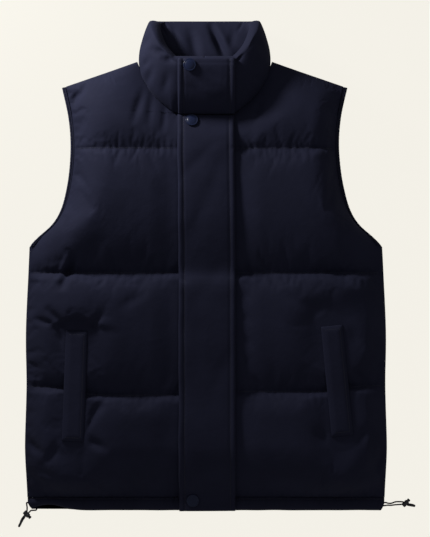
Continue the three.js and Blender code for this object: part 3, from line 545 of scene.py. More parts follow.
# %% [markdown]
# ## The collar's wall
# The stand-up collar is one padded ring. At the front it leans up and over the neck, and at the back it lies
# on the floor, so one looks down into it. Each row of the table is one place round the half ring: where its
# foot and rim are, and how far the padding stands out on each side.

# %% Collar table: foot x, y, z, rim x, y, z, fullness outside, fullness inside
COLLAR = [
    (48, 637, 47, 45, 717, 73, 21, 7), (74, 659, 46, 61, 734, 72, 21, 8),
    (92, 684, 44, 73, 757, 65, 18, 9), (98, 706, 39, 78, 774, 49, 14, 10),
    (91, 712, 32, 76, 778.4, 29, 13, 14), (68, 706, 29, 62, 778.4, 17, 13, 19),
    (34, 698, 29, 32, 778.4, 14, 14, 20), (0, 696, 29, 0, 778.4, 14, 14, 20),
]
COLLAR_SEAM_HALF = 6
FLAP_STEPS, ROUND_STEPS = 14, 84

across = np.linspace(SEAM_INSET, COLLAR[0][0], FLAP_STEPS, endpoint=False)
front_rows = np.tile(COLLAR[0], (FLAP_STEPS, 1)).astype(float)
front_rows[:, 0] = front_rows[:, 3] = across
half_ring = np.concatenate([front_rows, through(COLLAR, ROUND_STEPS)])
foot, rim = half_ring[:, 0:3], half_ring[:, 3:6]
full_out, full_in = half_ring[:, 6], half_ring[:, 7]
wall_up = unit(rim - foot)
round_way = np.gradient(foot + rim, axis=0)
round_way[:FLAP_STEPS] = (1, 0, 0)
round_way[-1] = (-1, 0, 0)
outward = unit(np.cross(round_way, wall_up))
print("collar stations:", 2 * len(half_ring) - 1)

# %% [markdown]
# ## The front's grid
# Rows of the grid run from the centre front to the side seam. Above the neck they fan out from the neckline
# to the shoulder, so the top row is the shoulder seam. The same shares across every row keep it regular.

# %% Grid of the front in plan
GRID_MM = 2.6
NECK_Y = 633.5


def seam_rows(step):
    """Row heights that fall on every seam."""
    ends = [*SEAMS, NECK_Y]
    blocks = [np.linspace(a, b, 2 * int(round((b - a) / step / 2)) + 1)[:-1] for a, b in zip(ends, ends[1:])]
    return np.concatenate(blocks)


shoulder_station = int(np.argmax(foot[:, 1] > 704))  # the collar's foot meets the shoulder seam there
stations = slice(FLAP_STEPS, shoulder_station)
neck_points = foot[stations] + outward[stations] * (COLLAR_SEAM_HALF - 1)
straight_neck = [(x, NECK_Y) for x in range(0, COLLAR[0][0], 4)]
neck_line = np.concatenate([straight_neck, neck_points[:, :2], [(SHOULDER_NECK_X - 1, NECK_SIDE - 1)]])
body_y = seam_rows(GRID_MM)
TOP_STEPS = 34
fan = np.linspace(0, 1, TOP_STEPS + 1)
neck_even = evenly(neck_line, count=TOP_STEPS + 1)
fan_y = mix(NECK_Y, SHOULDER_TIP, fan)
COLS = 113
shares = np.linspace(0, 1, COLS)
inner_end = np.concatenate([np.stack([np.full(len(body_y), SEAM_INSET), body_y], -1), neck_even])
outer_end = np.concatenate([np.stack([body_x(body_y), body_y], -1), np.stack([body_x(fan_y), fan_y], -1)])
plan = inner_end[:, None] + (outer_end - inner_end)[:, None] * shares[None, :, None]
plan_x, plan_y = plan[..., 0], plan[..., 1]
print("front grid:", plan.shape[:2])

# %% [markdown]
# ## How thick the front is
# The padding is thin at the side, the armhole, the neck and every seam. Beside the flap it is pressed by the
# flap's weight, and the pocket welts pull it down to a bed they lie on. First come the measures of all that,
# and how far each point of the grid is from the neck and from the outer edge.

# %% Reaches and distances
WELT_WIDTH, WELT_LENGTH, WELT_THICK, WELT_BED, WELT_SEAM_BED = 34.4, 174, 6, 31, 19
PADDING_BLEND = 45  # the padding's edge rounds off the underarm corner
PADDING_ROUND = 26  # and is averaged this far up and down
WELTS = {"left": ((-203, 290), (-209.5, 116)), "right": ((198, 298), (215, 125))}  # upper and lower end
# How far in from an edge the padding takes to fill: side seam, armhole of each hand, and where one turns into
# the other
SIDE_REACH, ARM_REACH, ARM_FROM, ARM_OVER = 72, {-1: 62, 1: 42}, 410, 60
# A welt's bed ends this far from it and fades over the next two; above the left welt it ends sooner
BED_MARGIN, BED_FADE, BED_OVER, ABOVE_WELT, RIGHT_SUNK = 3, 18, 42, {-1: 1.5, 1: 0}, 0.6
NECK_REACH, YOKE_REACH, SHOULDER_REACH = 60, 50, 100
LIP_REACH, HEM_REACH = 12, 40  # the same at the cross seams and above the hem
UNDER_FLAP = (0.32, 0.58, 60, 440)  # share of padding left under the flap, low down and near the neck

to_neck = (plan_x[..., None] - neck_line[:, 0], plan_y[..., None] - neck_line[:, 1])
from_neck = np.min(np.hypot(*to_neck), axis=-1)
near_by = np.linspace(-PADDING_ROUND, PADDING_ROUND, 9)
padding_x = np.mean([body_x(plan_y + near, PADDING_BLEND) for near in near_by], axis=0)
from_edge = np.maximum(padding_x - plan_x, 0)
from_edge[len(body_y):] = ((1 - shares) * (outer_end[:, :1] - inner_end[:, :1]))[len(body_y):]
slope = np.cos(np.arctan2(NECK_SIDE - SHOULDER_TIP, SHOULDER_TIP_X - SHOULDER_NECK_X))
in_yoke = plan_y > SEAMS[-1] - 1e-6
print("farthest from an edge:", round(float(from_edge.max())), "mm")

# %% [markdown]
# ## From distances to thickness
# Each seam and edge lets the padding grow with the distance from it, and one answer is blended into the next.
# The pocket's bed and the large folds are pressed in last.

# %% Heights of one front
under_flap = mix(*UNDER_FLAP[:2], ease((plan_y - UNDER_FLAP[2]) / UNDER_FLAP[3]))
beside_flap = under_flap + 0.05 * ease((plan_x - 36) / 8)
centre_share = mix(beside_flap, 1, ease((plan_x - 48) / 190))


def channel_front(y, bases):
    """Thickness of the puffed channels: each falls slowly to the seam below it, and fast to the one above."""
    seams = np.array(SEAMS, float)
    k = np.clip(np.searchsorted(seams, y + 1e-6) - 1, 0, 2)
    crest, full, fall_up, fall_down = (np.array(CHANNELS, float)[k, i] for i in range(4))
    low, high = seams[k], seams[k + 1]
    up = np.clip((y - high + crest) / crest, 0, 1)
    down = np.clip((high - crest - y) / (high - crest - low), 0, 1)
    thick = full - fall_up * up**2.4 - fall_down * down**2
    thick = mix(bases[k], thick, rise(y - low, np.where(k == 0, HEM_REACH, LIP_REACH)))
    return mix(bases[k + 1], thick, rise(high - y, LIP_REACH))


def full_front(hand):
    """Thickness of one front from its seams and edges alone."""
    bases = np.array([*SEAM_BASE, YOKE_SEAM[hand]], float)
    body = channel_front(np.minimum(plan_y, SEAMS[3]), bases)
    from_shoulder = (shoulder_y(plan_x) - plan_y) * slope
    yoke = mix(bases[3], YOKE_TOP, rise(plan_y - SEAMS[3], YOKE_REACH))
    yoke = mix(EDGE_THICK, yoke, rise(from_shoulder, SHOULDER_REACH))
    thick = np.where(in_yoke, yoke, body)
    thick = SEAM_THICK + (thick - SEAM_THICK) * centre_share
    thick = mix(NECK_THICK, thick, np.sin(np.pi / 2 * np.clip((from_neck + 2) / NECK_REACH, 0, 1)))
    below_arm = np.sin(np.pi / 2 * np.clip(from_edge / SIDE_REACH, 0, 1))
    to_edge = mix(below_arm, rise(from_edge, ARM_REACH[hand]), ease((plan_y - ARM_FROM) / ARM_OVER))
    return np.maximum(mix(EDGE_THICK, thick, to_edge), SEAM_THICK)


def front_height(hand):
    """Height of one front above the floor with its pocket bed and large folds, and distance to the welt."""
    x = hand * plan_x
    head, tail = WELTS["left" if hand < 0 else "right"]
    above = 1 + ABOVE_WELT[hand] * ease((plan_y - head[1]) / 30)
    gone = to_segment(x, plan_y, head, tail)[0] * above - WELT_WIDTH / 2
    welt_x = np.interp(plan_y, (tail[1], head[1]), (tail[0], head[0]))
    if hand > 0:  # the right pocket lies sunk as far as the side seam
        gone = gone * mix(1, RIGHT_SUNK, ease((x - welt_x - 5) / 50))
    away = ease((gone - BED_MARGIN) / BED_FADE)
    full = full_front(hand)
    pressed = mix(np.minimum(full, WELT_BED), full, ease((gone - BED_MARGIN) / BED_OVER))
    bedded = mix(np.maximum(pressed, WELT_SEAM_BED), pressed, away)
    share = ease(from_edge / 14) * ease((plan_x - 48) / 12) * ease((gone - BED_MARGIN) / 12)
    height = np.maximum(bedded - troughs(x, plan_y, FOLDS) * share, SEAM_THICK - 1)
    return lining_z(plan_y) + GAP + height, gone

# %% [markdown]
# ## Two puffed fronts
# Each front is drawn, blown up by the cloth run, and then given its fine folds and seam puckers. The run is
# calmed beside the flap, the neck, the underarm and the pockets, where the photograph shows smooth cloth. The
# waist seam strays upwards towards the sides, so the rows round it are moved last.

# %% Build the fronts
front_grids = {}
# How far the waist seam strays up, from the flap out to the side seam
WANDER_AT, WANDER_REACH = (60, 150, 190, 225, 250, 280), 75
WAIST_WANDER = {"left": (-5, -5, -3, 6, 9, 9), "right": (1, 1, 1, 8, 10, 10)}
PRESSURE, SLACK, CAP_MM = 2.2, 0.014, 5
# The cloth run is left out within the first distance of each of these, and fades in over the second
CALM = {"flap": (50, 40), "neck": (12, 60), "underarm": (30, 30), "pocket": (10, 50)}
POCKET_CALM = {-1: 0.5, 1: 0.15}  # but beside a welt, this share of it is kept
for side, hand in HANDS.items():
    height, gone = front_height(hand)
    grid = np.stack([hand * plan_x, plan_y, height], -1)
    coarse = placed(grid[::2, ::2])
    sewn = np.zeros(coarse.shape[:2])
    on_seam = np.isin(np.round(plan_y[::2, 0], 3), np.round(SEAMS, 3))
    sewn[on_seam] = 1
    sewn[[0, -1]] = 1
    sewn[:, [0, -1]] = 1
    sewn[(plan_x[::2, ::2] < 44) | (gone[::2, ::2] < 1)] = 1
    moved = puffed(coarse[:, ::hand], sewn[:, ::hand], PRESSURE, SLACK, CAP_MM)[:, ::hand]
    underarm = np.hypot(plan_x - 262, plan_y - UNDERARM - 12)
    away = {"flap": plan_x, "neck": from_neck, "underarm": underarm, "pocket": gone}
    flap, neck, arm, pocket = (ease((away[k] - first) / over) for k, (first, over) in CALM.items())
    calm = flap * neck * arm * mix(POCKET_CALM[hand], 1, pocket)
    grid = grid + resized(moved, *grid.shape[:2]) / MM * calm[..., None]
    x, y = hand * plan_x, plan_y
    fine = troughs(x, y, SMALL_FOLDS)
    for seam in SEAMS:
        lo, hi = (-284, -40) if hand < 0 else (40, 284)
        fine = fine + puckers(x, y, seam, 1, lo, hi)
        if seam > HEM_BAND:
            fine = fine + puckers(x, y, seam, -1, lo, hi)
    grid[..., 2] -= fine * ease(from_edge / 10) * ease((gone - 1) / 8)
    lining_level = lining_z(plan_y) + GAP
    grid[..., 2] = np.maximum(grid[..., 2], lining_level + 4)
    lining = np.stack([x, y, lining_level], -1)
    wander = np.interp(plan_x, WANDER_AT, WAIST_WANDER[side])
    wander = wander * ease(1 - np.abs(plan_y - SEAMS[1]) / WANDER_REACH)
    grid[..., 1] += wander
    lining[..., 1] += wander
    grid, lining = grid[:, ::hand], lining[:, ::hand]
    front = make_object(f"front_{side}_puffed", *closed_panel(grid, lining), shell)
    register(front, "shell", f"front_{side}")
    front_grids[side] = grid
    print("top", round(float(grid[..., 2].max()), 1), "mm")

# %% [markdown]
# ## The back
# The back carries the vest's weight, so its channels are pressed flat on the floor and only round up at the
# seams. It is hidden in the photograph, and is kept simpler: the same channels, with puckers at the seams.

# %% Build the back
BACK_NECK = [(0, 694.4), (34, 696.2), (66, 703), (84, 706), (97, 703), (107, 711)]
BACK_STEP = 4.2
BACK_COLS, BACK_TOP_ROWS = 131, 19
back_y = np.concatenate([seam_rows(BACK_STEP), np.full(BACK_TOP_ROWS, NECK_Y)])
back_top = np.r_[np.zeros(len(back_y) - BACK_TOP_ROWS), np.linspace(0, 1, BACK_TOP_ROWS)]
spread = np.linspace(-1, 1, BACK_COLS)
neck_x, neck_y = np.array(BACK_NECK).T
reach_x = np.abs(spread) * 221
top_edge = np.where(reach_x > neck_x[-1], shoulder_y(reach_x), np.interp(reach_x, neck_x, neck_y))
row_y = np.where(back_top > 0, mix(NECK_Y, SHOULDER_TIP, back_top), back_y)
half = body_x(row_y)
x = spread[None] * half[:, None]
y = np.where(back_top[:, None] > 0, mix(NECK_Y, top_edge[None], back_top[:, None]), back_y[:, None])
edge = half[:, None] * (1 - np.abs(spread))
upper = BACK_PUFF * rise(y - SEAMS[-1], 50) * rise(top_edge[None] - y, 55)
thick = EDGE_THICK + np.where(y > SEAMS[-1] - 1e-6, upper, channel(y, BACK_PUFF, 50)) * rise(edge, 58)
fine = sum(puckers(x, y, s, d, -280, 280, depth=1.8) for s in SEAMS for d in (-1, 1) if s > HEM_BAND or d > 0)
thick = np.maximum(thick - fine * ease(edge / 10), 4)
lining = np.stack([x, y, lining_z(y)], -1)
outer = lining.copy()
outer[..., 2] = np.maximum(outer[..., 2] - thick, 0)
back = make_object("back_puffed", *closed_panel(outer, lining, up=False), shell)
register(back, "shell", "back_panel")

# %% [markdown]
# ## The collar, inside and out
# The wall is swept round the ring: up its outside, over a soft rim, down its inside. The folds where it
# turns the corners are troughs in plan, pressed in along the wall's own outward direction.

# %% Build the collar
OUT_STEPS, RIM_STEPS, IN_STEPS = 34, 8, 26
RIM_FULL = 0.66  # the padding goes on over the rim
COLLAR_OUTER_FOLDS = [
    (-58, 722, -80, 730, 5, 5), (-50, 712, -64, 716, 6, 4.5), (-84, 700, -92, 680, 3, 6),
    (56, 724, 50, 712, 5, 4.5), (76, 690, 90, 684, 2.5, 6), (-64, 668, -58, 690, 2, 6),
    (60, 656, 66, 676, 2, 6), (-96, 740, -88, 752, 2.5, 5), (92, 730, 84, 746, 2, 6),
    (-88, 716, -98, 706, 2.5, 5), (70, 738, 84, 752, 2, 5),
]
COLLAR_INNER_FOLDS = [
    (11, 774, 32, 724, 9, 6), (18, 772, 44, 730, -3, 7), (-22, 764, -12, 720, 5, 8),
    (46, 766, 40, 740, 2, 6), (-50, 768, -44, 744, 3, 6), (-74, 784, -60, 760, 2.5, 1.6),
    (-68, 785, -54, 763, 2.5, 1.6), (62, 784, 52, 766, 2.5, 1.6),
]

up_share = np.linspace(0, 1, OUT_STEPS)
down_share = np.linspace(1, 0, IN_STEPS)
turn = np.linspace(0, np.pi, RIM_STEPS + 2)[1:-1]


def wall_swell(share):
    """Fullness of the wall from its foot (0) to its rim (1)."""
    return rise(share, 0.5) * mix(RIM_FULL, 1, rise(1 - share, 0.42))


def collar_loops():
    """Sections of the wall round the half ring: spine points, distances from it, and both added up."""
    half_wall = COLLAR_SEAM_HALF
    out_q = half_wall + wall_swell(up_share)[None] * (full_out[:, None] - half_wall)
    in_q = -half_wall - wall_swell(down_share)[None] * (full_in[:, None] - half_wall)
    rim_q = mix(out_q[:, -1:], in_q[:, :1], (1 - np.cos(turn)) / 2)
    v = np.r_[up_share, np.ones(RIM_STEPS), down_share]
    extra = np.r_[np.zeros(OUT_STEPS), half_wall * 0.85 * np.sin(turn), np.zeros(IN_STEPS)]
    q = np.concatenate([out_q, rim_q, in_q], axis=1)
    spine = foot[:, None] + (rim - foot)[:, None] * v[None, :, None] + wall_up[:, None] * extra[None, :, None]
    return spine, q, spine + outward[:, None] * q[..., None]

# %% [markdown]
# ## Both halves of the ring
# The half ring is mirrored, and each side gets its own folds. Then both are joined at the back into one solid,
# whose two ends meet under the flap.

# %% Join the collar
spine, q, at = collar_loops()
full_loops = []
for mirror in (-1, 1):
    px, py = at[..., 0] * mirror, at[..., 1]
    dent = np.zeros_like(q)
    dent[:, :OUT_STEPS] = troughs(px, py, COLLAR_OUTER_FOLDS)[:, :OUT_STEPS] * (outward[:, 2:3] > 0.2)
    dent[:, -IN_STEPS:] = -troughs(px, py, COLLAR_INNER_FOLDS)[:, -IN_STEPS:] * (outward[:, 2:3] < -0.2)
    shaped = spine + outward[:, None] * (q - dent)[..., None]
    shaped[..., 0] *= mirror
    full_loops.append(shaped)
ring = np.concatenate([full_loops[0][:-1], full_loops[1][::-1]])
ring[..., 2] = np.maximum(ring[..., 2], 0)
collar = make_object("collar_puffed", *lofted(placed(ring)), shell)
register(collar, "shell", "collar")

# %% [markdown]
# ## The flap
# A storm flap covers the centre front. It is sewn down at the viewer's right and held by snaps at the left,
# and it is stiff enough to bridge the quilting seams. Its edges are topstitched, which leaves a small
# groove inside each edge and a fuller rim outside it.

# %% Flap section and its lie
FLAP_SECTION = [
    (0, 1.0), (0.6, 3.6), (1.8, 5.2), (4, 5.7), (6.6, 5.3), (8.2, 4.1), (8.8, 3.9), (9.6, 4.3), (12, 5.2),
    (20, 5.6), (45, 5.9), (68, 5.6), (77, 5.2), (80.6, 4.2), (81.4, 3.9), (82.2, 4.2), (84, 5.4), (87, 5.6),
    (89, 4.8), (89.7, 3.2), (90, 1.0),
]
# Height of the flap's underside along the centre front: it bridges the seams and dips to the neck
FLAP_LINE = [
    (1, 30.9), (14, 31.1), (28, 32.6), (38, 37.4), (53, 44), (68, 50), (84, 54.8), (99, 57.7), (115, 58.8),
    (146, 59.5), (192, 59.5), (224, 60.3), (255, 62), (286, 63.7), (318, 64.7), (345, 64.5), (360, 63.2),
    (370, 60.6), (378, 57.8), (388, 57.6), (412, 62), (443, 66.6), (474, 69.2), (505, 70), (536, 69.4),
    (567, 67.4), (583, 65.5), (600, 62.6), (615, 57.8), (624, 54.4), (632, 50.8),
]
FLAP_COLLAR_HEM = [(633.2, 56.5), (635.4, 57.2)]
flap_lie = through(FLAP_LINE, 600)


def flap_under(y):
    return np.interp(y, flap_lie[:, 0], flap_lie[:, 1])


def wavy(t, size, seed, waves=9):
    """A slow uneven wave along t in millimetres."""
    draw = np.random.default_rng(seed)
    lengths = draw.uniform(40, 190, waves)
    return sum(np.sin(2 * np.pi * (t / w + draw.uniform())) for w in lengths) * size / waves**0.5


cross = evenly(FLAP_SECTION, count=61)
FLAP_FOLDS = [
    (35, 573, -32, 418, 1.4, 14), (20, 590, -30, 540, 1.0, 9), (-43, 373, -30, 368, 1.6, 4),
    (40, 578, 47, 576, 1.2, 4), (30, 400, -20, 330, 0.9, 12), (38, 260, 10, 190, 0.8, 10),
    (-38, 200, -20, 150, 0.8, 9), (30, 60, 8, 30, 0.8, 8),
]
print("flap line:", len(flap_lie), "points, highest", round(float(flap_lie[:, 1].max()), 1), "mm")

# %% [markdown]
# ## The flap's long part
# The section is carried up the centre front along the flap's line. Slow uneven waves keep its edges and its
# face from looking like a board, and the free edge stands a little higher than the sewn one.

# %% Body part of the flap
flap_y = np.linspace(1, FLAP_FOLD, 300)
gx, gy = np.meshgrid(FLAP_LEFT + cross[:, 0], flap_y)
under = flap_under(gy) + wavy(gy, 0.35, 3) + 3 * (FLAP_RIGHT - gx) / 90  # its free edge lifts a little
end_round = ease((gy - 1) / 2.5 + 0.35) * ease((FLAP_FOLD - gy) / 2.5 + 0.35)
lift = wavy(gy, 0.5, 5) * ease((-gx - 20) / 20) + wavy(gy, 0.4, 6) * ease((gx - 25) / 20)
top = under + cross[None, :, 1] * (0.5 + 0.5 * end_round) + lift - troughs(gx, gy, FLAP_FOLDS)
bent = wavy(gy, 0.35, 8) * ease((-gx - 10) / 30)
flap_body_grid = np.stack([gx + bent, gy, top], -1)
flap_body_low = np.stack([gx + bent, gy, under + lift * 0.5], -1)
flap_body = make_object("flap_body_cloth", *closed_panel(flap_body_grid, flap_body_low), shell)
register(flap_body, "shell", "flap_body")

# %% [markdown]
# ## The flap on the collar
# A second part of the flap follows the collar's front up to its rim and turns over it. It starts at a small
# hem above the long part, so the two never touch.

# %% Collar part of the flap
FLAP_COLLAR_FOLDS = [
    (-12, 700, 26, 684, 1.2, 7), (-30, 676, 6, 656, 1.1, 7), (-2, 672, 30, 660, -0.9, 8),
    (10, 652, 34, 664, 0.9, 6),
]
v = np.linspace(0.045, 1.0, 90)
swell = COLLAR_SEAM_HALF + wall_swell(v) * (full_out[0] - COLLAR_SEAM_HALF)
line = foot[0] + (rim[0] - foot[0]) * v[:, None] + outward[0] * (swell[:, None] + 0.6)
hem_points = np.array([(0, *point) for point in FLAP_COLLAR_HEM])
line = np.concatenate([hem_points, line, line[-1:] + [[0, 2.2, -2.4]]])
line = evenly(line, pitch=1.9)
along = unit(np.gradient(line[:, 1:], axis=0))
normal = np.stack([-along[:, 1], along[:, 0]], -1)
share = np.linspace(0, 1, len(line))
ends = ease(share / 0.03 + 0.3) * ease((1 - share) / 0.03 + 0.3)
rises = cross[None, :, 1] * (0.45 + 0.55 * ends[:, None])
rises = rises - 1.3 * np.exp(-(((share - 0.93) / 0.014) ** 2))[:, None]
gx = np.tile(FLAP_LEFT + cross[:, 0], (len(line), 1))
rises = rises - troughs(gx, line[:, 1:2], FLAP_COLLAR_FOLDS)
gx = gx + 1.0  # the collar's part is sewn on a millimetre to the right
gy = line[:, 1:2] + normal[:, :1] * rises
gz = line[:, 2:3] + normal[:, 1:] * rises
flap_collar_grid = np.stack([gx, gy, gz], -1)
low_y, low_z = (np.tile(line[:, k:k + 1], gx.shape[1]) for k in (1, 2))
flap_collar_low = np.stack([gx, low_y, low_z], -1)
flap_collar = make_object("flap_collar_cloth", *closed_panel(flap_collar_grid, flap_collar_low), shell)
register(flap_collar, "shell", "flap_collar")

# %% [markdown]
# ## The hem casing
# The hem is a narrow tunnel for an elastic drawcord. The cord makes it roll and pucker, and at the viewer's
# left corner it draws the front casing up, so the back one peeps out below it.

# %% Hem casings
CASING = [
    (0, 3), (0.4, 6.4), (1.8, 9.6), (4.5, 11.8), (8, 12.8), (12, 12.6), (16, 11.2), (18.6, 9.2), (19.4, 8.6),
    (20.2, 8.8), (21.6, 7.6),
]
BACK_SWELL, CASING_END = 1.32, 286
DRAWN_UP_X, DRAWN_UP_WIDE = -252, 30  # where the cord draws the casing up


def casing(node, x_from, x_to, up, gather, seed):
    """One stretch of the hem's tunnel, puckered along its length."""
    section = evenly(CASING, count=26)
    count = int(abs(x_to - x_from) / 2.4)
    limit = np.interp(section[:, 0], side_line[:, 0], side_line[:, 1])[:, None]
    gx, gy = np.meshgrid(np.linspace(x_from, x_to, count), section[:, 0])
    gx = np.clip(gx, -limit, limit)
    drawn_up = gather * np.exp(-(((gx - DRAWN_UP_X) / DRAWN_UP_WIDE) ** 2))
    gy = gy + drawn_up * (1 - gy / HEM_BAND) + wavy(gx, 0.35, seed)
    corner = rise(limit - np.abs(gx) + 3, 16)
    thick = mix(5, section[:, 1:] * (1 if up else BACK_SWELL), corner)
    local = np.random.default_rng(seed)
    for at in np.arange(x_from, x_to, 7.5):
        centre, width = at + local.normal(0, 2.2), local.uniform(1.6, 3.4)
        slant = local.normal(0, 0.18) * (gy - 20)
        pleat = local.uniform(0.2, 1.5) * np.exp(-(((gx - centre - slant) / width) ** 2))
        thick = thick - pleat * np.clip(gy / 12, 0.15, 1)
    base = np.full_like(gx, HEM_LINING_Z + (GAP if up else 0))
    level = base + thick if up else np.maximum(base - thick, 0)
    grid = np.stack([gx, gy, level], -1)
    shape = closed_panel(grid, np.stack([gx, gy, base], -1), up)
    piece = make_object(f"{node}_cloth", *shape, trim, smooth_angle=0.9)
    register(piece, "trim", node)
    return grid


casing_left = casing("hem_casing_left", -CASING_END, -SEAM_INSET, True, 9, 21)
casing_right = casing("hem_casing_right", SEAM_INSET, CASING_END, True, 0, 22)
casing("hem_casing_back", -CASING_END, CASING_END, False, 4, 23)

# %% [markdown]
# ## Armhole bindings
# A narrow strip is folded over each raw armhole edge and topstitched. It is swept along the edge points of
# the front or the back, with a small round section.

# %% Bindings
BINDING_SECTION = [
    (0, 0), (0.7, 0), (0.95, 0.15), (1.05, 0.45), (0.98, 0.75), (0.8, 0.95), (0.55, 1.0), (0.38, 0.9),
    (0.25, 0.97), (0, 0.97),
]


def binding(side, hand, up):
    foot_y = UNDERARM + BINDING_BLEND
    ys = np.r_[foot_y, np.arange(foot_y + 1.5, NECK_Y - 1, 3.0), fan_y[::2]]
    edge = np.stack([body_x(ys), ys], -1)
    way = unit(np.gradient(edge, axis=0))
    out = np.stack([way[:, 1], -way[:, 0]], -1)
    section = np.array(BINDING_SECTION) * (BINDING_WIDTH, BINDING_HEIGHT)
    ripple = 1 + wavy(ys, 0.02, 31 + hand) + 0.02 * np.sin(ys * 1.1)
    reach = section[None, :, :1] * (ripple * way[:, 1])[:, None, None]
    plan_at = edge[:, None] + out[:, None] * (0.2 + reach)
    plan_at[0, :, 0] = edge[0, 0] + 0.2 + section[:, 0]  # the first section is cut level with the side seam
    plan_at[0, :, 1] = UNDERARM + 0.5
    tall = section[None, :, 1] * ripple[:, None]
    level = LINING_Z + (GAP + tall if up else -tall)
    loops = np.concatenate([plan_at * (hand, 1), level[..., None]], axis=-1)
    where = "front" if up else "back"
    piece = make_object(f"binding_{where}_{side}_cloth", *lofted(placed(loops)), trim, smooth_angle=0.9)
    register(piece, "trim", f"armhole_binding_{where}_{side}")
    return loops


bindings = {(side, up): binding(side, hand, up) for side, hand in HANDS.items() for up in (True, False)}

# %% [markdown]
# ## Pocket welts
# Each pocket mouth is closed by a padded welt, stitched down at its short ends and along its outer edge.
# It is a flat grid with rounded edges and a slight dish.

# %% Welts
welt_grids = {}
for side, (head, tail) in WELTS.items():
    down = np.subtract(tail, head) / np.hypot(*np.subtract(tail, head))
    sideways = np.array([-down[1], down[0]])
    s, t = np.meshgrid(np.linspace(-0.5, 0.5, 21), np.linspace(0, 1, 90))
    inset = np.minimum((0.5 - np.abs(s)) * WELT_WIDTH, np.minimum(t, 1 - t) * WELT_LENGTH)
    rounded = 0.2 + 0.8 * rise(inset, 11)
    groove = 0.35 * np.exp(-(((inset - 4.6) / 0.9) ** 2))
    tall = WELT_THICK * rounded - groove + wavy(t * WELT_LENGTH, 0.25, 41)
    spot = np.array(head) + down * (t * WELT_LENGTH)[..., None] + sideways * (s * WELT_WIDTH)[..., None]
    z = LINING_Z + GAP + WELT_BED + GAP
    grid = np.concatenate([spot, (z + 0.8 * tall)[..., None]], -1)
    low = np.concatenate([spot, np.full_like(s, z)[..., None]], -1)
    welt = make_object(f"pocket_welt_{side}_cloth", *closed_panel(grid, low), shell)
    register(welt, "shell", f"pocket_welt_{side}")
    welt_grids[side] = grid

# %% [markdown]
# ## Snap caps
# A turned profile spun round its axis gives the cap: a rolled rim, a shallow ring and a low dome.

# %% Snap caps
SNAP_PROFILE = [
    (4, 0.3), (4, 0.9), (9.2, 0.9), (9.8, 1.2), (10, 1.8), (9.7, 2.5), (9.0, 2.75), (8.3, 2.55), (7.9, 2.4),
    (7.3, 2.75), (6, 3.2), (4, 3.6), (2, 3.8), (0.6, 3.85),
]


def turned(name, profile, material, sides=56):
    """A solid of revolution in millimetres, closed on its axis."""
    p = np.array(profile, float)
    angle = np.linspace(0, 2 * np.pi, sides, endpoint=False)
    loops = np.stack([p[:, :1] * np.cos(angle), p[:, :1] * np.sin(angle), np.tile(p[:, 1:], (1, sides))], -1)
    return make_object(name, *lofted(loops * MM), material, smooth_angle=1.1)


def snap_place(x, y):
    """Where a cap sits on the flap, and the flap's slope there."""
    grid = flap_collar_grid if y > FLAP_FOLD else flap_body_grid
    row = int(np.argmin(np.abs(grid[:, 30, 1] - y)))
    near = grid[max(row - 4, 0):row + 5, 20]
    slope = (near[-1, 2] - near[0, 2]) / (near[-1, 1] - near[0, 1])
    return float(grid[row, 16, 2]), float(np.arctan(slope))


for name, x, y in (("collar", -25, 705), ("neck", -22, 621.6), ("hem", -21, 18.4)):
    cap = turned(f"snap_{name}_enamelled", SNAP_PROFILE, enamel)
    height, tilt = snap_place(x, y)
    cap.location = placed([x - float(lean(y)), y, height])
    cap.rotation_euler.x = tilt
    register(cap, "snap", f"snap_cap_{name}")
    print(cap.name, "at", np.round(np.array(cap.location) / MM, 1))

# %% [markdown]
# ## Drawcord ends
# At each hem corner the elastic's two strands leave the casing, pass through a spring cord lock and end
# together in a moulded tip. The strands are drawn as real lengths of cord lying on the floor, and each one
# runs on through its lock.

# %% Cords, locks and tips
CORD_RADIUS = 1.2
CORD_ROUTES = {
    "left_a": [
        (-286.1, 12, 17), (-288.6, 11, 14.5), (-289.3, 7, 8), (-289.2, 2, 4.4), (-289.4, -2.6, 3.9),
        (-290, -8, 3.8), (-292.4, -12.4, 3.6), (-294.2, -15.6, 2.8), (-296.4, -18.6, 2.2),
        (-298.6, -22.4, 2.1),
    ],
    "left_b": [
        (-272.6, 0.6, 14.4), (-274.4, -1.4, 11), (-278.4, -2.4, 6), (-283, -3.2, 4), (-285.7, -5.7, 3.8),
        (-289.4, -9.6, 3.8), (-293.8, -11.6, 3.6), (-296.2, -14.4, 2.8), (-298.3, -17.6, 2.2),
        (-300.2, -21.4, 2.1),
    ],
    "right_a": [
        (285.8, 11.6, 17), (289.8, 11.2, 13.5), (294, 9, 6), (300, 8.4, 1.8), (307, 10.6, 1.5),
        (317, 10.9, 3.7), (322, 9.2, 3.7), (327.6, 7.4, 3.5), (331, 6.8, 2.5), (335.6, 5.8, 2.1),
    ],
    "right_b": [
        (284.4, 6.6, 17), (289.4, 6.4, 12), (293, 5.6, 4.6), (299, 5, 1.6), (306, 5.8, 1.5),
        (313, 6.6, 3.7), (320.6, 7.2, 3.7), (327, 5.2, 3.5), (330.6, 4.6, 2.5), (335.2, 3.6, 2.1),
    ],
}
LOCK_PROFILE = [
    (0.4, -5.5), (2.6, -5.5), (3.4, -5), (3.7, -4.2), (3.7, -1.6), (3.4, -1.3), (3.4, 1.3), (3.7, 1.6),
    (3.7, 4.2), (3.4, 5), (3, 5.4), (2.2, 5.5), (2.2, 6.4), (2.6, 6.7), (2.6, 8.6), (2.2, 9.3), (0.4, 9.5),
]
LOCKS = {"left": ((-290.2, -8.8, 3.75), -135), "right": ((321.9, 8.3, 3.75), -45)}
TIPS = {"left": ((-297.4, -18.9, 2.2), (-303.2, -30.2, 2.1)), "right": ((332.7, 5.2, 2.2), (338.4, 3.9, 2.1))}
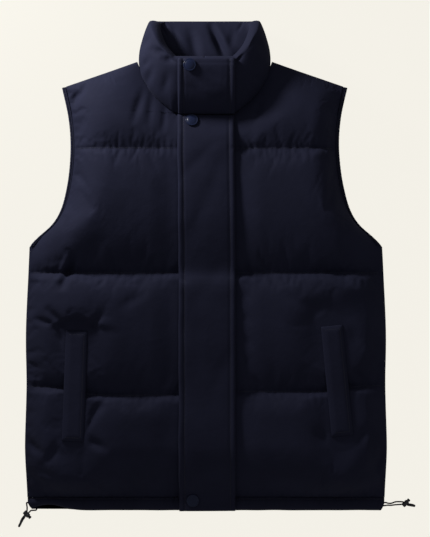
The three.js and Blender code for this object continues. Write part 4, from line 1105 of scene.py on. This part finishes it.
TIP_PROFILE = [
    (0.3, 0), (1.7, 0), (2, 0.06), (2, 0.3), (1.85, 0.34), (2, 0.38), (2, 0.78), (1.5, 0.95), (0.3, 1),
]

# %% [markdown]
# ## Building the ends
# A tube is swept along each route, and the locks and tips are turned and then pointed along the cord.

# %% Build the cord ends
def tube(route, radius, sides=14):
    """A round cord along a route, with its centreline in frame metres."""
    line = evenly(through(route, 160), count=70)
    side_way, over = sideways_of(unit(np.gradient(line, axis=0)))
    angle = np.linspace(0, 2 * np.pi, sides, endpoint=False)
    ring = line[:, None] + radius * (side_way[:, None] * np.cos(angle)[None, :, None]
                                     + over[:, None] * np.sin(angle)[None, :, None])
    return placed(ring), placed(line)


for side in HANDS:
    centre, turn_deg = LOCKS[side]
    lock = turned(f"cord_lock_{side}_moulded", LOCK_PROFILE, moulded, sides=40)
    lock.location = placed(centre)
    heading = np.radians(turn_deg)
    lock.rotation_euler = Vector((-np.sin(heading), np.cos(heading), 0)).to_track_quat("Z", "Y").to_euler()
    register(lock, "plastic", f"cord_lock_{side}")
    start, stop = (np.array(p) for p in TIPS[side])
    reach = float(np.linalg.norm(stop - start))
    tip = turned(f"cord_end_{side}_moulded", [(r, z * reach) for r, z in TIP_PROFILE], moulded, sides=28)
    tip.location = placed(start)
    tip.rotation_euler = Vector(stop - start).to_track_quat("Z", "Y").to_euler()
    register(tip, "cord", f"cord_end_{side}")
    for strand in ("a", "b"):
        rings, centreline = tube(CORD_ROUTES[f"{side}_{strand}"], CORD_RADIUS)
        piece = make_object(f"drawcord_{side}_{strand}_elastic", *lofted(rings), elastic)
        nodes = [f"drawcord_{side}_a", f"drawcord_{side}_tail"] if strand == "a" else [f"drawcord_{side}_b"]
        register(piece, "cord", *nodes)

# %% [markdown]
# ## Stitches
# Every seam that shows is a row of short thread bumps, each one a little capsule laid along the seam. All
# the stitches of one piece are one mesh.

# %% Stitch maker
STITCH_LONG, STITCH_THICK, STITCH_PITCH, STITCH_SIDES = 2.2, 0.28, 3.1, 6
STITCH_RINGS = [(-0.5, 0.35), (-0.38, 1), (0.38, 1), (0.5, 0.35)]  # place along it, share of its thickness


def stitches(name, lines, slot="shell", lift=0.12):
    """Thread capsules along lines of garment-millimetre points."""
    angle = np.linspace(0, 2 * np.pi, STITCH_SIDES, endpoint=False)
    blocks, faces, start = [], [], 0
    for line in lines:
        at = evenly(line, pitch=STITCH_PITCH)
        mid, way = (at[:-1] + at[1:]) / 2, unit(np.diff(at, axis=0))
        for m, w, sw, ov in zip(mid, way, *sideways_of(way)):
            ring = np.outer(np.cos(angle), sw) + 0.7 * np.outer(np.sin(angle), ov)
            loops = [m + w * (a * STITCH_LONG) + ov * lift + STITCH_THICK * k * ring for a, k in STITCH_RINGS]
            block, quads = lofted(np.array(loops))
            blocks.append(block)
            faces += [[i + start for i in f] for f in quads]
            start += len(block)
    register(make_object(name, placed(np.concatenate(blocks)), faces, thread), slot)
    print(len(blocks), "stitches")

# %% [markdown]
# ## Where the stitches run
# The seam lines are taken from the grids of the finished pieces, so the thread lies on the cloth: along both
# edges of the flap, over each quilting seam, along the hem and the armholes, and round the pocket welts.

# %% Stitches of every piece
FLAP_GROOVES = (8.8, 81.4)  # millimetres across the flap
grooves = [int(np.argmin(np.abs(cross[:, 0] - mm))) for mm in FLAP_GROOVES]
stitches("flap_topstitch", [g[:, k] for g in (flap_body_grid, flap_collar_grid) for k in grooves])
quilt_rows = [int(np.argmin(np.abs(body_y - s))) for s in SEAMS[1:]]
for side, grid in front_grids.items():
    spans = [grid[r, 17:-3] if side == "right" else grid[r, 3:-17] for r in quilt_rows]
    spans = [span[np.abs(span[:, 0]) > 50] for span in spans]
    stitches(f"quilting_{side}", spans)
stitches("hem_topstitch", [g[22] for g in (casing_left, casing_right)], slot="trim")
stitches("armhole_topstitch", [bindings[side, True][:, 7] for side in HANDS], slot="trim")
for side, grid in welt_grids.items():
    stitches(f"welt_topstitch_{side}", [grid[3:-3, -4], grid[3, 3:-3], grid[-4, 3:-3]], lift=0)

# %% [markdown]
# ## The floor and the light
# The photograph has an even cream ground with hardly a shadow on it, so the floor glows a little by itself
# and takes only a trace of shadow. One soft light stands near the upper left corner, low enough to fade each
# puff from its top to its foot, and near enough to leave the lower right in the dark.

# %% Floor and lights
FLOOR_HALF, FLOOR_Z = 4, -0.0005
WORLD_LIGHT = 0.26
KEY_PLACE, KEY_AIM, KEY_SIZE, KEY_WATTS = (-0.50, 0.66, 0.285), (0.05, -0.1, 0.04), 0.14, 7.1

floor_material, floor_shader = new_material("studio_floor")[::2]
set_sockets(floor_shader, {
    "Base Color": (0.02, 0.0195, 0.018, 1), "Roughness": 0.9, "Specular IOR Level": 0.0,
    "Emission Color": (1.0, 0.972, 0.892, 1), "Emission Strength": 0.895,
})
floor_mesh = bpy.data.meshes.new("studio_floor")
corners = [(FLOOR_HALF * a, FLOOR_HALF * b, FLOOR_Z) for a, b in ((-1, -1), (1, -1), (1, 1), (-1, 1))]
floor_mesh.from_pydata(corners, [], [(0, 1, 2, 3)])
floor_mesh.materials.append(floor_material)
floor = bpy.data.objects.new("studio_floor", floor_mesh)
scene.collection.objects.link(floor)
floor.visible_diffuse = floor.visible_glossy = False
floor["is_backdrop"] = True

world = bpy.data.worlds.new("studio")
world.use_nodes = True
set_sockets(world.node_tree.nodes["Background"], {"Color": (1, 0.98, 0.95, 1), "Strength": WORLD_LIGHT})
scene.world = world

key_data = bpy.data.lights.new("key", "AREA")
key_data.shape = "DISK"
key_data.size = KEY_SIZE
key_data.energy = KEY_WATTS
key_data.color = (1, 0.99, 0.98)
key = bpy.data.objects.new("key", key_data)
key.location = KEY_PLACE
key.rotation_euler = (Vector(KEY_AIM) - key.location).to_track_quat("-Z", "Y").to_euler()
key.visible_camera = False
scene.collection.objects.link(key)
scene.view_settings.view_transform = "Standard"
print("key light:", KEY_WATTS, "W")

# %% [markdown]
# ## Sizes, and the end
# The dressed vest has to keep the solids' size.

# %% Print the sizes and finish
visual_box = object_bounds()
boxes = {name: [list(corner) for corner in box] for name, box in (("cad", cad_box), ("visual", visual_box))}
for name, (low, high) in boxes.items():
    print(name, [round((b - a) / MM, 1) for a, b in zip(low, high)], "mm")
